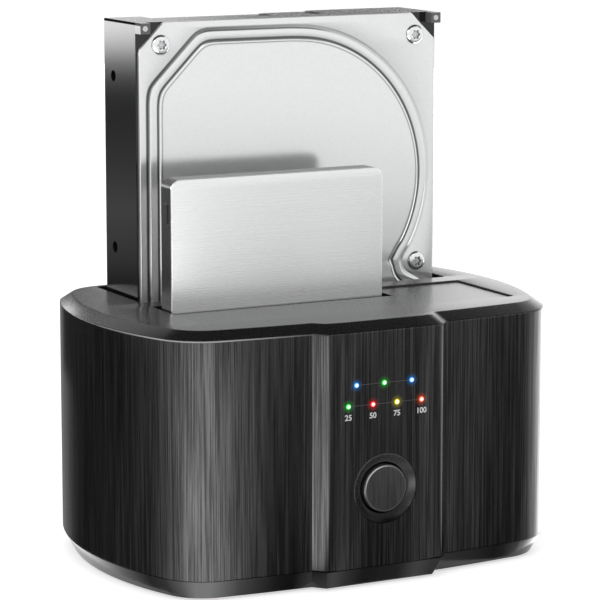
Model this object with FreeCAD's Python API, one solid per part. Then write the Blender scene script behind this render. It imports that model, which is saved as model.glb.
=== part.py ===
import FreeCAD, Part
import math
import os
from FreeCAD import Vector

# A desktop drive duplicator: a curved housing with two drive bays side by side, each closed by
# a large flap with a small flap let into it.  Sizes are in mm.  +Z is up, the front faces -Y,
# and the origin is the middle of the footprint's box, on the desk.

# ---- housing
BODY_HEIGHT = 77.3        # base to top face
FRONT_ARC_R = 419.0       # bow of the long walls, seen from above
END_ARC_R = 98.0          # bow of the end walls
CORNER_R = 16.7           # corner between the two bows
WALL = 2.0
TOP_BEVEL_H = 2.4         # sloping rim round the top face
TOP_BEVEL_IN = 3.75
BASE_BEVEL_H = 5.5        # sloping skirt above the desk
BASE_BEVEL_IN = 3.0
PANEL_PROUD = 3.0         # the control panel stands out of the front wall
PANEL_ROOT_HALF = 22.0
PANEL_FACE_HALF = 19.0
LIP_H = 3.0               # short lips of the top and base inside the wall
LIP_T = 1.4
LIP_W = 14.0
LIP_X = 41.0
BOARD_SHY_OF_LIP = 1.0    # main board to the lips round it
FLOOR_T = 2.0

# ---- clearances
FIT = 0.1                 # fixed parts that drop into each other
RUN = 0.05                # pins in knuckles, on the radius
GAP = 0.4                 # flaps to the edges round them

# ---- sides of the many-sided rods that stand for small round pieces
FEW = 8
MORE = 12
MANY = 20

# ---- feet and case screws
FOOT_R = 5.5
FOOT_PROUD = 0.8
FOOT_SUNK = 1.0
FOOT_IN_X = 23.1          # feet and screws, from the housing's ends and long walls
FOOT_IN_Y = 16.65
BOSS_IN_X = 10.1
BOSS_IN_Y = 22.65
BOSS_R = 2.9
BOSS_TOP = 34.0
SCREW_R = 1.3
SCREW_HEAD_R = 2.4
SCREW_HEAD_H = 1.4
SCREW_LEN = 14.0

# ---- vents in the base
VENT_COLUMNS = 6
VENT_PITCH = 9.0
VENT_W = 2.0
VENT_L = 18.0
VENT_Y = 17.0             # middle of each row from the middle of the base

# ---- bays
BAY_X = 3.2               # the bays' middle stands this far right of the housing's
BAY_END = 18.1            # half of what the housing is longer than a bay
BAY_PLAY_W = 2.4          # a bay is wider and deeper than a 3.5-inch drive by this much
BAY_PLAY_D = 6.9
BAY_FRONT = 17.05         # front wall to the first bay
BAY_BAR = 7.9             # bar between the bays
BAY_REAR = 8.35           # second bay to the back wall
HDD_IN = 1.4              # each drive's left side, from the bay's left end
SSD_IN = 0.7
BAY_CORNER_R = 1.0
BACK_GAP = 4.9            # a seated drive's back to the bay's back edge
LINER_T = 1.2
LINER_GUIDE = 0.6         # liner to the faces of a seated drive
POCKET = 1.7              # room for the hinges under the cover's edge

# ---- flaps and hinges
FLAP_T = 1.2
FLAP_SUNK = 0.5           # flap faces lie this far below the top face
SMALL_FLAP_PLAY = 3.15    # the small flap is wider than a 2.5-inch drive by this much
SMALL_FLAP_D = 12.4
HINGE_DROP = 1.6          # hinge line below the flap's upper face
HINGE_BACK = 0.1          # hinge line inside the bay's edge
PIN_R = 0.6
KNUCKLE_R = 1.1
KNUCKLE_L = 9.0
KNUCKLE_PITCH = 36.0
EAR_W = 1.6
EAR_IN = 6.0              # the inner bearing of the small pin, from the small flap's end
BIG_FLAP_LEAN = 3.2       # degrees off upright when it leans on a seated drive
SMALL_FLAP_LEAN = 13.0
SPRING_WIRE_R = 0.18
SPRING_COIL_R = 0.92
SPRING_TURNS = 3
SPRING_PITCH = 0.55
SPRING_RISE = 14.0        # degrees, slope of the leg up to the flap's underside
FLAP_RIB_H = 1.0
FLAP_RIB_W = 1.2

# ---- seats and connectors
SEAT_35 = 13.4            # lower edge of a 3.5-inch drive above the desk
SEAT_25 = 16.7
SOCKET_L = 47.0
SOCKET_W = 8.0
NOSE_L = 40.8
NOSE_W = 4.4
NOSE_H = 4.2
SLOT_W = 1.7
SLOT_WALL = 1.7
KEY_AT = 8.6              # the bar between the data and power contacts, from the middle
KEY_W = 2.2
TONGUE_T = 1.2
PLUG_H = 4.4
PLUG_IN = 3.5             # middle of the connector to a drive's back face

# ---- boards
BOARD_T = 1.6
BOARD_UNDER = 7.0         # underside of the main board above the desk
BOARD_IN_X = 29.2         # how much shorter and narrower than the housing the board is
BOARD_IN_Y = 15.3
BOARD_POST_R = 2.6
BOARD_POST_IN_X = 5.5     # posts from the board's edges
BOARD_POST_IN_Y = 6.0
BOARD_SCREW_R = 0.8
BOARD_SCREW_HEAD_R = 1.8
BOARD_SCREW_HEAD_H = 1.0
BOARD_SCREW_LEN = 3.0     # below the board

# chips: from the housing's middle, side and height
CHIPS = ((-22.0, -18.0, 11.0, 1.2), (30.0, -18.0, 11.0, 1.2), (36.0, 18.0, 9.0, 1.0),
         (-36.0, 12.0, 6.0, 1.0))
CAP_R = 2.2
CAP_SHY = 0.5             # cans to the board's edge
CAP_H = 8.0
CAP_PITCH = 9.0

# ---- rear ports
PORT_DEPTH = 10.4
USB_X = 4.0
USB_W = 12.0
USB_H = 12.6
USB_SKIN = 0.5
USB_LOWER_W = 8.5
USB_LOWER_H = 7.4
USB_CUT = 1.4             # cut corners of the lower mouth
USB_UPPER_W = 5.8
USB_UPPER_H = 3.2
USB_TONGUE_W = 5.6
USB_TONGUE_T = 2.4
USB_TONGUE_SHY = 1.0      # tongues behind the mouth
USB_UPPER_TONGUE_W = 4.4
USB_UPPER_TONGUE_T = 0.9
JACK_X = -24.0
JACK_W = 9.6
JACK_H = 11.0
JACK_COLLAR_R = 4.4
JACK_BORE_R = 3.2
JACK_PIN_R = 1.05
JACK_BACK = 1.0           # wall behind the bore, and the pin's end behind the mouth
SWITCH_X = 32.0
SWITCH_W = 15.0
SWITCH_H = 10.6
SWITCH_FLANGE = 1.4
SWITCH_FLANGE_T = 1.2
SWITCH_WALL = 1.0
ROCKER_W = 10.8
ROCKER_H = 6.6
ROCKER_TILT = 8.0         # degrees either side of level
ROCKER_R = 5.6            # hinge line to the ends of the pads
ROCKER_DIP = 1.2          # depth of the V between the pads
ROCKER_PROUD = 0.2
ROCKER_DRAFT = 0.6        # the ends draw in towards the hinge line
ROCKER_KEEL = 1.6         # depth behind the hinge line
PIVOT_R = 0.8             # round pins on the rocker's sides
PIVOT_L = 1.0

# ---- control panel
LAMP_R = 0.8
LAMP_BODY_R = 1.35
ROW_1_Z = 17.8            # below the top face
ROW_2_Z = 23.8
ROW_1_X = (-9.6, -0.5, 8.5)
ROW_2_X = (-12.2, -4.2, 3.7, 11.8)
BUTTON_Z = 48.9
BUTTON_R = 7.05
BUTTON_PROUD = 0.3
BUTTON_EASE = 0.4
BUTTON_FLANGE_R = 8.9
BUTTON_FLANGE_T = 1.0
BUTTON_TRAVEL = 0.8
BUTTON_STEM_R = 2.4
BEZEL_R = 10.3
BEZEL_BORE = 7.6
BEZEL_DISH = 1.3
BEZEL_LIP = 0.35
BEZEL_FLANGE_R = 11.4
BEZEL_FLANGE_T = 1.0
BEZEL_FLANGE_BORE = 8.6
TACT_W = 6.0
TACT_T = 3.5
TACT_PLUNGER_R = 1.7
TACT_PLUNGER_H = 1.0
STEM_CLEAR = 0.02
LED_T = 1.0
LED_W = 1.6
LED_H = 1.2
FRONT_BOARD_W = 33.0
FRONT_BOARD_MARGIN = 7.0
FRONT_BOARD_T = 1.2
POST_R = 1.9
POST_IN = 3.0             # posts and board screws, from the board's edges

# ---- 3.5-inch drive
HDD_W = 101.6
HDD_T = 26.1
HDD_L = 147.0
HDD_COVER_BACK = 1.9      # cover face behind the corner tabs
HDD_COVER_T = 1.2
HDD_WALL = 4.5
HDD_BOARD_T = 1.4
HDD_STEP = 0.35           # each of the cover's two pressed steps
HDD_CHAMFER = 8.1
HDD_EDGE = 0.7
TAB_W = 3.2
TAB_HOLE_R = 0.9
TAB_HOLE_DEPTH = 0.3
END_RECESSES = ((12.0, 52.0, 0.6), (52.0, 68.0, 0.3))    # left, right and depth, on the upper end
END_RECESS_D = 14.0       # from the back face
PLATTER_OFF = 1.5         # the discs' middle is this far right of the drive's
PLATTER_IN = 49.2         # and this far below its upper edge
PLATTER_MARGIN = 4.4
STEP_LEFT = 3.3
STEP_CHAMFER = 17.0
STEP_IN = 3.6
STEP_BOTTOM = 5.0
STEP_BAND = 3.3
SCREW_CLEAR_R = 5.0
SCREW_IN = 6.7            # cover screws from the drive's edges
SCREW_SIDE = 7.7
SCREW_MID = 77.3          # the one half way down, from the upper edge
COVER_SCREW_R = 3.0
COVER_SCREW_H = 0.9
STAR_R = 1.3
STAR_DEPTH = 0.4
SIDE_HOLES = (28.5, 78.4, 130.1)
SIDE_HOLE_UP = 6.35       # from the drive's back face
SIDE_HOLE_R = 1.75
SIDE_HOLE_DEPTH = 4.0
MOTOR_R = 14.0            # hole in the board for the motor
HDD_PLUG_AT = 39.2        # middle of the connector from the drive's left side

# ---- 2.5-inch drive
SSD_W = 69.85
SSD_T = 7.0
SSD_L = 100.0
SSD_CORNER_R = 3.0
SSD_FACE_T = 0.6
SSD_SNAP_DOWN = 7.2       # small snap on the left side, below the upper edge
SSD_SNAP_L = 5.6
SSD_SNAP_T = 0.3
SSD_SNAP_W = 2.6
SSD_PLUG_AT = 27.9

# ---- positions worked out from the sizes
BAY_W = HDD_W + BAY_PLAY_W
BAY_D = HDD_T + BAY_PLAY_D
LENGTH = BAY_W + 2 * BAY_END           # overall, left to right
DEPTH = BAY_FRONT + 2 * BAY_D + BAY_BAR + BAY_REAR    # front wall to back wall, without the panel
SMALL_FLAP_W = SSD_W + SMALL_FLAP_PLAY
A = LENGTH / 2
B = DEPTH / 2
FOOT_X = A - FOOT_IN_X
FOOT_Y = B - FOOT_IN_Y
BOSS_X = A - BOSS_IN_X
BOSS_Y = B - BOSS_IN_Y
BOARD_L = LENGTH - BOARD_IN_X
BOARD_D = DEPTH - BOARD_IN_Y
BOARD_POST_X = BOARD_L / 2 - BOARD_POST_IN_X
BOARD_POST_Y = BOARD_D / 2 - BOARD_POST_IN_Y
CY = (PANEL_PROUD + BUTTON_PROUD) / 2  # middle of the housing, so that the box is centred
FRONT = CY - B
BACK = CY + B
Z_BASE = FOOT_PROUD
Z_TOP = Z_BASE + BODY_HEIGHT
Z_SKIRT = Z_BASE + BASE_BEVEL_H
Z_RIM = Z_TOP - TOP_BEVEL_H
PANEL_Y = FRONT - PANEL_PROUD
BAY_LEFT = BAY_X - BAY_W / 2
BAY_RIGHT = BAY_X + BAY_W / 2
FRONT_BAY = FRONT + BAY_FRONT          # front edge of each bay
REAR_BAY = FRONT_BAY + BAY_D + BAY_BAR
HDD_X = BAY_LEFT + HDD_IN
SSD_X = BAY_LEFT + SSD_IN
PLATTER_X = HDD_W / 2 + PLATTER_OFF
PLATTER_Z = HDD_L - PLATTER_IN
PLATTER_R = HDD_W / 2 - PLATTER_MARGIN
COVER_SCREWS = ((SCREW_SIDE, HDD_L - SCREW_IN), (HDD_W - SCREW_SIDE, HDD_L - SCREW_IN),
                (HDD_W - SCREW_IN, HDD_L - SCREW_MID), (HDD_W - SCREW_IN, SCREW_IN),
                (SCREW_SIDE, SCREW_IN))
FLAP_TOP = Z_TOP - FLAP_SUNK
HINGE_Z = FLAP_TOP - HINGE_DROP
NOTCH_X = BAY_LEFT + SMALL_FLAP_W + GAP
BOARD_TOP = BOARD_UNDER + BOARD_T
FRONT_BOARD_Y = (PANEL_Y + WALL + BEZEL_FLANGE_T + BUTTON_FLANGE_T + FIT + BUTTON_TRAVEL
                 + BUTTON_TRAVEL + STEM_CLEAR + TACT_PLUNGER_H + TACT_T)
X_AXIS = Vector(1, 0, 0)
Y_AXIS = Vector(0, 1, 0)
Z_AXIS = Vector(0, 0, 1)


# ---- helpers
def box(x0, x1, y0, y1, z0, z1):
    return Part.makeBox(x1 - x0, y1 - y0, z1 - z0, Vector(x0, y0, z0))


def rod(radius, start, axis, length):
    return Part.makeCylinder(radius, length, Vector(*start), axis)


def peg(radius, start, axis, length, sides=FEW):
    """Many-sided rod, for small shanks, posts and holes inside the housing."""
    turn = FreeCAD.Rotation(Z_AXIS, axis)
    corners = []
    for i in range(sides):
        angle = math.tau * (i + 0.5) / sides
        spoke = Vector(radius * math.cos(angle), radius * math.sin(angle), 0)
        corners.append(Vector(*start) + turn.multVec(spoke))
    return Part.Face(Part.makePolygon(corners + corners[:1])).extrude(axis * length)


def join(shapes):
    return shapes[0].multiFuse(shapes[1:]).removeSplitter()


def rounded_face(x0, x1, y0, y1, radius):
    """Rectangle in the XY plane with its four corners rounded."""
    rect = Part.makePlane(x1 - x0, y1 - y0, Vector(x0, y0, 0))
    block = rect.extrude(Vector(0, 0, 1))
    upright = [e for e in block.Edges if abs(e.tangentAt(e.FirstParameter).z) > 0.9]
    rounded = block.makeFillet(radius, upright)
    return min(rounded.Faces, key=lambda face: face.CenterOfMass.z)


def rounded_box(x0, x1, y0, y1, z0, z1, radius):
    """Block with its four upright edges rounded."""
    face = rounded_face(x0, x1, y0, y1, radius)
    return face.extrude(Vector(0, 0, z1 - z0)).translated(Vector(0, 0, z0))


def standing(face, y0, y1):
    """Plate whose outline was drawn as (x, height) in the XY plane, set upright from y0 to y1."""
    plate = face.extrude(Vector(0, 0, y1 - y0))
    plate.rotate(Vector(0, 0, 0), X_AXIS, 90)
    plate.translate(Vector(0, y1, 0))
    return plate


def polygon(points):
    corners = [Vector(x, y, 0) for x, y in points]
    return Part.Face(Part.makePolygon(corners + corners[:1]))


def groove(y, half, past):
    """Square groove round a hinge line: room for the knuckles, or a seat that traps a pin's ends."""
    return box(BAY_LEFT - past, BAY_RIGHT + past, y - half, y + half, HINGE_Z - half,
               HINGE_Z + half)


def section_yz(points, x0, x1):
    """Outline given as (y, z) carried along X."""
    corners = [Vector(x0, y, z) for y, z in points]
    return Part.Face(Part.makePolygon(corners + corners[:1])).extrude(Vector(x1 - x0, 0, 0))


def arc(centre, radius, start, end, z):
    circle = Part.Circle(Vector(centre[0], centre[1], z), Z_AXIS, radius)
    return Part.ArcOfCircle(circle, start, end).toShape()


def corner_centre():
    """Centre of the front right corner arc, which touches the front bow and the end bow."""
    bow = FRONT_ARC_R - B
    end = A - END_ARC_R
    to_corner_bow = FRONT_ARC_R - CORNER_R
    to_corner_end = END_ARC_R - CORNER_R
    apart = math.hypot(end, bow)
    along = (to_corner_bow ** 2 - to_corner_end ** 2 + apart ** 2) / (2 * apart)
    across = math.sqrt(to_corner_bow ** 2 - along ** 2)
    ux = end / apart
    uy = -bow / apart
    return along * ux - across * uy, CY + bow + along * uy + across * ux


def outline(inset, z):
    """Plan outline of the housing moved in by inset: two bows, two ends, and the raised panel."""
    fx, fy = corner_centre()
    bow_y = FRONT + FRONT_ARC_R
    end_x = A - END_ARC_R
    a_bow = math.atan2(fy - bow_y, fx)
    a_end = math.atan2(fy - CY, fx - end_x)
    bow_r = FRONT_ARC_R - inset
    end_r = END_ARC_R - inset
    corner_r = CORNER_R - inset
    # the sloping side of the panel, moved in along its own normal
    root_y = bow_y - math.sqrt(FRONT_ARC_R ** 2 - PANEL_ROOT_HALF ** 2)
    run = Vector(PANEL_ROOT_HALF - PANEL_FACE_HALF, root_y - PANEL_Y, 0).normalize()
    start = Vector(PANEL_FACE_HALF - run.y * inset, PANEL_Y + run.x * inset, 0)
    face_y = PANEL_Y + inset
    face_x = start.x + run.x * (face_y - start.y) / run.y
    to_centre = Vector(start.x, start.y - bow_y, 0)
    half_b = to_centre.dot(run)
    reach = -half_b - math.sqrt(half_b ** 2 - to_centre.dot(to_centre) + bow_r ** 2)
    root = start + run * reach
    a_root = math.atan2(root.y - bow_y, root.x)
    root_left = Vector(-root.x, root.y, z)
    root_right = Vector(root.x, root.y, z)
    face_left = Vector(-face_x, face_y, z)
    face_right = Vector(face_x, face_y, z)
    edges = [
        arc((0, bow_y), bow_r, -math.pi - a_bow, -math.pi - a_root, z),
        Part.makeLine(root_left, face_left),
        Part.makeLine(face_left, face_right),
        Part.makeLine(face_right, root_right),
        arc((0, bow_y), bow_r, a_root, a_bow, z),
        arc((fx, fy), corner_r, a_bow, a_end, z),
        arc((end_x, CY), end_r, a_end, -a_end, z),
        arc((fx, 2 * CY - fy), corner_r, -a_end, -a_bow, z),
        arc((0, 2 * CY - bow_y), bow_r, -a_bow, math.pi + a_bow, z),
        arc((-fx, 2 * CY - fy), corner_r, math.pi + a_bow, math.pi + a_end, z),
        arc((-end_x, CY), end_r, math.pi + a_end, math.pi - a_end, z),
        arc((-fx, fy), corner_r, math.pi - a_end, math.pi - a_bow, z),
    ]
    return Part.Wire(edges)


def prism(inset, z0, z1):
    return Part.Face(outline(inset, z0)).extrude(Vector(0, 0, z1 - z0))


def tapered(inset0, z0, inset1, z1):
    return Part.makeLoft([outline(inset0, z0), outline(inset1, z1)], True, True)


def ring(inset, thickness, z0, z1):
    return prism(inset, z0, z1).cut(prism(inset + thickness, z0, z1))


def lips(z0, z1):
    """Short lips that hold the top or the base square in the wall, two in front and one at each end."""
    half = LIP_W / 2
    bow_y = FRONT + FRONT_ARC_R
    front = bow_y - math.sqrt((FRONT_ARC_R - WALL - FIT) ** 2 - (LIP_X + half) ** 2)
    front = max(front, bow_y - math.sqrt((FRONT_ARC_R - WALL - FIT) ** 2 - (LIP_X - half) ** 2))
    end = A - END_ARC_R + math.sqrt((END_ARC_R - WALL - FIT) ** 2 - half ** 2)
    places = [box(x - half, x + half, front, front + LIP_T, z0, z1) for x in (-LIP_X, LIP_X)]
    places.append(box(end - LIP_T, end, CY - half, CY + half, z0, z1))
    places.append(box(-end, LIP_T - end, CY - half, CY + half, z0, z1))
    return places


def mirrored_places(x, y):
    return [(sx * x, CY + sy * y) for sx in (-1, 1) for sy in (-1, 1)]


# ---- housing
def make_wall_shell():
    shell = ring(0, WALL, Z_SKIRT, Z_RIM)
    solids = [shell]
    for x, y in mirrored_places(BOSS_X, BOSS_Y):
        solids.append(peg(BOSS_R, (x, y, Z_SKIRT), Z_AXIS, BOSS_TOP - Z_SKIRT))
        web = box(min(x, math.copysign(A, x)), max(x, math.copysign(A, x)),
                  y - WALL / 2, y + WALL / 2, Z_SKIRT + LIP_H + FIT, BOSS_TOP)
        solids.append(web.common(prism(WALL / 2, Z_SKIRT, Z_RIM)))
    for x, z in front_board_holes():
        solids.append(peg(POST_R, (x, PANEL_Y + WALL / 2, z), Y_AXIS,
                          FRONT_BOARD_Y - PANEL_Y - WALL / 2))
    shell = join(solids)
    cuts = []
    for x, y in mirrored_places(BOSS_X, BOSS_Y):
        cuts.append(peg(SCREW_R, (x, y, Z_SKIRT), Z_AXIS, SCREW_LEN))
    for x, z in front_board_holes():
        cuts.append(peg(BOARD_SCREW_R, (x, FRONT_BOARD_Y - BOARD_SCREW_LEN, z), Y_AXIS,
                        BOARD_SCREW_LEN))
    for row_z, row in ((ROW_1_Z, ROW_1_X), (ROW_2_Z, ROW_2_X)):
        for x in row:
            cuts.append(peg(LAMP_R + RUN, (x, PANEL_Y, Z_TOP - row_z), Y_AXIS, WALL))
    cuts.append(rod(BEZEL_R + RUN, (0, PANEL_Y, Z_TOP - BUTTON_Z), Y_AXIS, WALL))
    # rear windows
    port_z = BOARD_TOP
    cuts.append(box(USB_X - USB_W / 2 - FIT, USB_X + USB_W / 2 + FIT, BACK - 3 * WALL, BACK + WALL,
                    port_z - FIT, port_z + USB_H + FIT))
    cuts.append(peg(JACK_COLLAR_R + 2 * FIT, (JACK_X, BACK - 3 * WALL, port_z + JACK_H / 2),
                    Y_AXIS, 4 * WALL, MANY))
    frame = SWITCH_FLANGE + FIT
    cuts.append(box(SWITCH_X - SWITCH_W / 2 - frame, SWITCH_X + SWITCH_W / 2 + frame,
                    BACK - 3 * WALL, BACK + WALL, port_z - FIT, port_z + SWITCH_H + 2 * frame))
    return shell.cut(Part.makeCompound(cuts))


def bay_window(bay_y, z0, z1):
    return rounded_box(BAY_LEFT, BAY_RIGHT, bay_y, bay_y + BAY_D, z0, z1, BAY_CORNER_R)


def make_top_cover():
    cover = tapered(0, Z_RIM, TOP_BEVEL_IN, Z_TOP)
    cover = join([cover] + lips(Z_RIM - LIP_H, Z_RIM))
    reliefs = []
    for bay_y in (FRONT_BAY, REAR_BAY):
        reliefs.append(bay_window(bay_y, Z_RIM, Z_TOP))
        for hinge_y in hinge_lines(bay_y):
            reliefs.append(groove(hinge_y, KNUCKLE_R + GAP / 2, 0))
            reliefs.append(groove(hinge_y, PIN_R + FIT / 5, LINER_T))
    return cover.cut(Part.makeCompound(reliefs))


def make_base_tray():
    skirt = tapered(BASE_BEVEL_IN, Z_BASE, 0, Z_SKIRT)
    hollow = prism(WALL + BASE_BEVEL_IN, Z_BASE + FLOOR_T, Z_SKIRT)
    solids = [skirt.cut(hollow)] + lips(Z_SKIRT, Z_SKIRT + LIP_H)
    for x, y in mirrored_places(BOSS_X, BOSS_Y):
        solids.append(peg(BOSS_R, (x, y, Z_BASE + FLOOR_T / 2), Z_AXIS,
                          Z_SKIRT - Z_BASE - FLOOR_T / 2))
    for x, y in mirrored_places(BOARD_POST_X, BOARD_POST_Y):
        solids.append(peg(BOARD_POST_R, (x, y, Z_BASE + FLOOR_T / 2), Z_AXIS,
                          BOARD_UNDER - Z_BASE - FLOOR_T / 2))
    tray = join(solids)
    cuts = []
    for x, y in mirrored_places(FOOT_X, FOOT_Y):
        cuts.append(peg(FOOT_R + FIT, (x, y, Z_BASE), Z_AXIS, FOOT_SUNK, MANY))
    for x, y in mirrored_places(BOSS_X, BOSS_Y):
        cuts.append(peg(SCREW_R + FIT, (x, y, Z_BASE), Z_AXIS, BASE_BEVEL_H))
        cuts.append(peg(SCREW_HEAD_R + FIT, (x, y, Z_BASE), Z_AXIS, 2 * SCREW_HEAD_H, MORE))
    for x, y in mirrored_places(BOARD_POST_X, BOARD_POST_Y):
        cuts.append(peg(BOARD_SCREW_R, (x, y, BOARD_UNDER - BOARD_SCREW_LEN), Z_AXIS,
                        BOARD_SCREW_LEN))
    for column in range(VENT_COLUMNS):
        x = (column - (VENT_COLUMNS - 1) / 2) * VENT_PITCH
        for y in (CY - VENT_Y, CY + VENT_Y):
            cuts.append(box(x - VENT_W / 2, x + VENT_W / 2, y - VENT_L / 2, y + VENT_L / 2,
                            Z_BASE, Z_BASE + FLOOR_T))
    return tray.cut(Part.makeCompound(cuts))


def make_rubber_feet():
    return [peg(FOOT_R, (x, y, 0), Z_AXIS, FOOT_PROUD + FOOT_SUNK, MANY)
            for x, y in mirrored_places(FOOT_X, FOOT_Y)]


def make_screw(place, axis, head, shank_r, length):
    """Screw whose shank runs along the axis from the inner face of its head."""
    shank = peg(shank_r, place, axis, length)
    return head.fuse(shank).removeSplitter()


def make_case_screws():
    seat = Z_BASE + 2 * SCREW_HEAD_H
    screws = []
    for x, y in mirrored_places(BOSS_X, BOSS_Y):
        head = peg(SCREW_HEAD_R, (x, y, seat - SCREW_HEAD_H), Z_AXIS, SCREW_HEAD_H, MORE)
        screws.append(make_screw((x, y, seat), Z_AXIS, head, SCREW_R - RUN, SCREW_LEN))
    return screws


# ---- bays, flaps and hinges
def hinge_lines(bay_y):
    """Y of the large flap's hinge at the bay's front edge, and of the small one's at its back."""
    return bay_y + HINGE_BACK, bay_y + BAY_D - HINGE_BACK


def liner_section(bay_y, grow):
    """(y, z) outline of a bay: wide under the cover for the hinges, close to the drive below."""
    drive_back = bay_y + BAY_D - BACK_GAP
    front_low = drive_back - HDD_T - LINER_GUIDE - grow
    back_low = drive_back + LINER_GUIDE + grow
    front_high = bay_y - POCKET - grow
    back_high = bay_y + BAY_D + POCKET + grow
    big_reach = HINGE_Z - BAY_D - POCKET
    small_reach = HINGE_Z - SMALL_FLAP_D - 2 * POCKET
    bottom = SEAT_35 - grow
    return [(front_low, bottom), (back_low, bottom), (back_low, small_reach - BACK_GAP - grow),
            (back_high, small_reach - grow), (back_high, Z_RIM), (front_high, Z_RIM),
            (front_high, big_reach - grow), (front_low, big_reach - POCKET - grow)]


def make_bay_liner(bay_y, socket_x):
    """Open-topped moulding that guides a drive down to its socket, trimmed to the shell."""
    outer = section_yz(liner_section(bay_y, LINER_T), BAY_LEFT - LINER_T, BAY_RIGHT + LINER_T)
    inner = section_yz(liner_section(bay_y, 0), BAY_LEFT, BAY_RIGHT)
    outer = outer.common(prism(WALL + FIT, 0, Z_TOP))
    liner = outer.cut(inner.common(prism(WALL + FIT + LINER_T, 0, Z_TOP)))
    big_y, small_y = hinge_lines(bay_y)
    back = bay_y + BAY_D + POCKET
    ear_x = NOTCH_X - GAP - EAR_IN
    ear = box(ear_x, ear_x + EAR_W, small_y - PIN_R, back + LINER_T / 2,
              HINGE_Z - KNUCKLE_R, Z_RIM)
    liner = join([liner, ear])
    cuts = [groove(y, PIN_R + FIT / 5, LINER_T) for y in (big_y, small_y)]
    socket_y = bay_y + BAY_D - BACK_GAP - PLUG_IN
    cuts.append(box(socket_x - SOCKET_L / 2 - FIT, socket_x + SOCKET_L / 2 + FIT,
                    socket_y - SOCKET_W / 2 - FIT, socket_y + SOCKET_W / 2 + FIT,
                    SEAT_35 - 2 * LINER_T, SEAT_25))
    return liner.cut(Part.makeCompound(cuts))


def knuckle_starts(x_from, x_to):
    """Left ends of the hinge barrels, spread evenly along a flap's edge."""
    count = max(2, round((x_to - x_from) / KNUCKLE_PITCH))
    step = (x_to - x_from) / count
    return [x_from + (i + 0.5) * step - KNUCKLE_L / 2 for i in range(count)]


def knuckles(x_from, x_to, y):
    return [peg(KNUCKLE_R, (x, y, HINGE_Z), X_AXIS, KNUCKLE_L, MORE)
            for x in knuckle_starts(x_from, x_to)]


def pin_bore(y):
    """Bore through a flap's knuckles, with its flats clear of the pin."""
    radius = (PIN_R + RUN) / math.cos(math.pi / MORE)
    return peg(radius, (BAY_LEFT, y, HINGE_Z), X_AXIS, BAY_W, MORE)


def spring_start(x_from, x_to):
    return knuckle_starts(x_from, x_to)[0] + KNUCKLE_L + 2 * SPRING_WIRE_R


def spring_pocket(x_from, x_to, y):
    """Hollow under a flap's edge for the coil."""
    radius = (SPRING_COIL_R + 2 * SPRING_WIRE_R + FIT) / math.cos(math.pi / MORE)
    start = (spring_start(x_from, x_to) - 2 * SPRING_WIRE_R, y, HINGE_Z)
    return peg(radius, start, X_AXIS, SPRING_TURNS * SPRING_PITCH + 4 * SPRING_WIRE_R, MORE)


def coil_section(turns):
    """Square section of the spring wire after so many turns about X, from below the pin."""
    angle = math.tau * turns
    out = Vector(0, math.sin(angle), -math.cos(angle))
    middle = out * SPRING_COIL_R + X_AXIS * (SPRING_PITCH * turns)
    corners = [middle + X_AXIS * (SPRING_WIRE_R * i) + out * (SPRING_WIRE_R * j)
               for i, j in ((-1, -1), (1, -1), (1, 1), (-1, 1), (-1, -1))]
    return Part.makePolygon(corners)


def make_spring(x_from, x_to, y, side):
    """Torsion spring round the pin; its leg runs to the flap's underside (side 1: towards +Y)."""
    rise = math.radians(SPRING_RISE)
    sections = [coil_section(i / 8) for i in range(8 * SPRING_TURNS)]
    sections.append(coil_section(SPRING_TURNS + SPRING_RISE / 360))
    coil = Part.makeLoft(sections, True, True)
    length = SPRING_PITCH * (SPRING_TURNS + SPRING_RISE / 360)
    underside = HINGE_DROP - FLAP_T - SPRING_WIRE_R - FIT / 5
    leg = (underside + SPRING_COIL_R * math.cos(rise)) / math.sin(rise)
    end = Vector(length, SPRING_COIL_R * math.sin(rise), -SPRING_COIL_R * math.cos(rise))
    arm = peg(SPRING_WIRE_R, end, Vector(0, math.cos(rise), math.sin(rise)), leg)
    spring = join([coil, arm])
    if side < 0:
        spring.rotate(Vector(length / 2, 0, 0), Z_AXIS, 180)
    spring.translate(Vector(spring_start(x_from, x_to), y, HINGE_Z))
    return spring


def big_spring(bay_y):
    return make_spring(BAY_LEFT + GAP, BAY_RIGHT - GAP, hinge_lines(bay_y)[0], 1)


def small_spring(bay_y):
    return make_spring(BAY_LEFT + GAP, NOTCH_X - 2 * GAP - EAR_IN, hinge_lines(bay_y)[1], -1)


def make_big_flap(bay_y):
    """L-shaped flap, closed: full width, with a corner left out for the small flap."""
    x0 = BAY_LEFT + GAP
    x1 = BAY_RIGHT - GAP
    y0 = bay_y + GAP
    y1 = bay_y + BAY_D - GAP
    notch_y = bay_y + BAY_D - SMALL_FLAP_D - 2 * GAP
    low = FLAP_TOP - FLAP_T
    plate = box(x0, x1, y0, y1, low, FLAP_TOP)
    plate = plate.cut(box(x0, NOTCH_X, notch_y, y1, low, FLAP_TOP))
    hinge_y = hinge_lines(bay_y)[0]
    ribs = [box(x0, x1, notch_y - 2 * FLAP_RIB_W, notch_y - FLAP_RIB_W, low - FLAP_RIB_H, low),
            box(NOTCH_X + 2 * FLAP_RIB_W, NOTCH_X + 3 * FLAP_RIB_W, y0 + 2 * KNUCKLE_R,
                y1 - 2 * FLAP_RIB_W, low - FLAP_RIB_H, low)]
    flap = join([plate] + ribs + knuckles(x0, x1, hinge_y))
    return flap.cut(pin_bore(hinge_y)).cut(spring_pocket(x0, x1, hinge_y))


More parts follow.
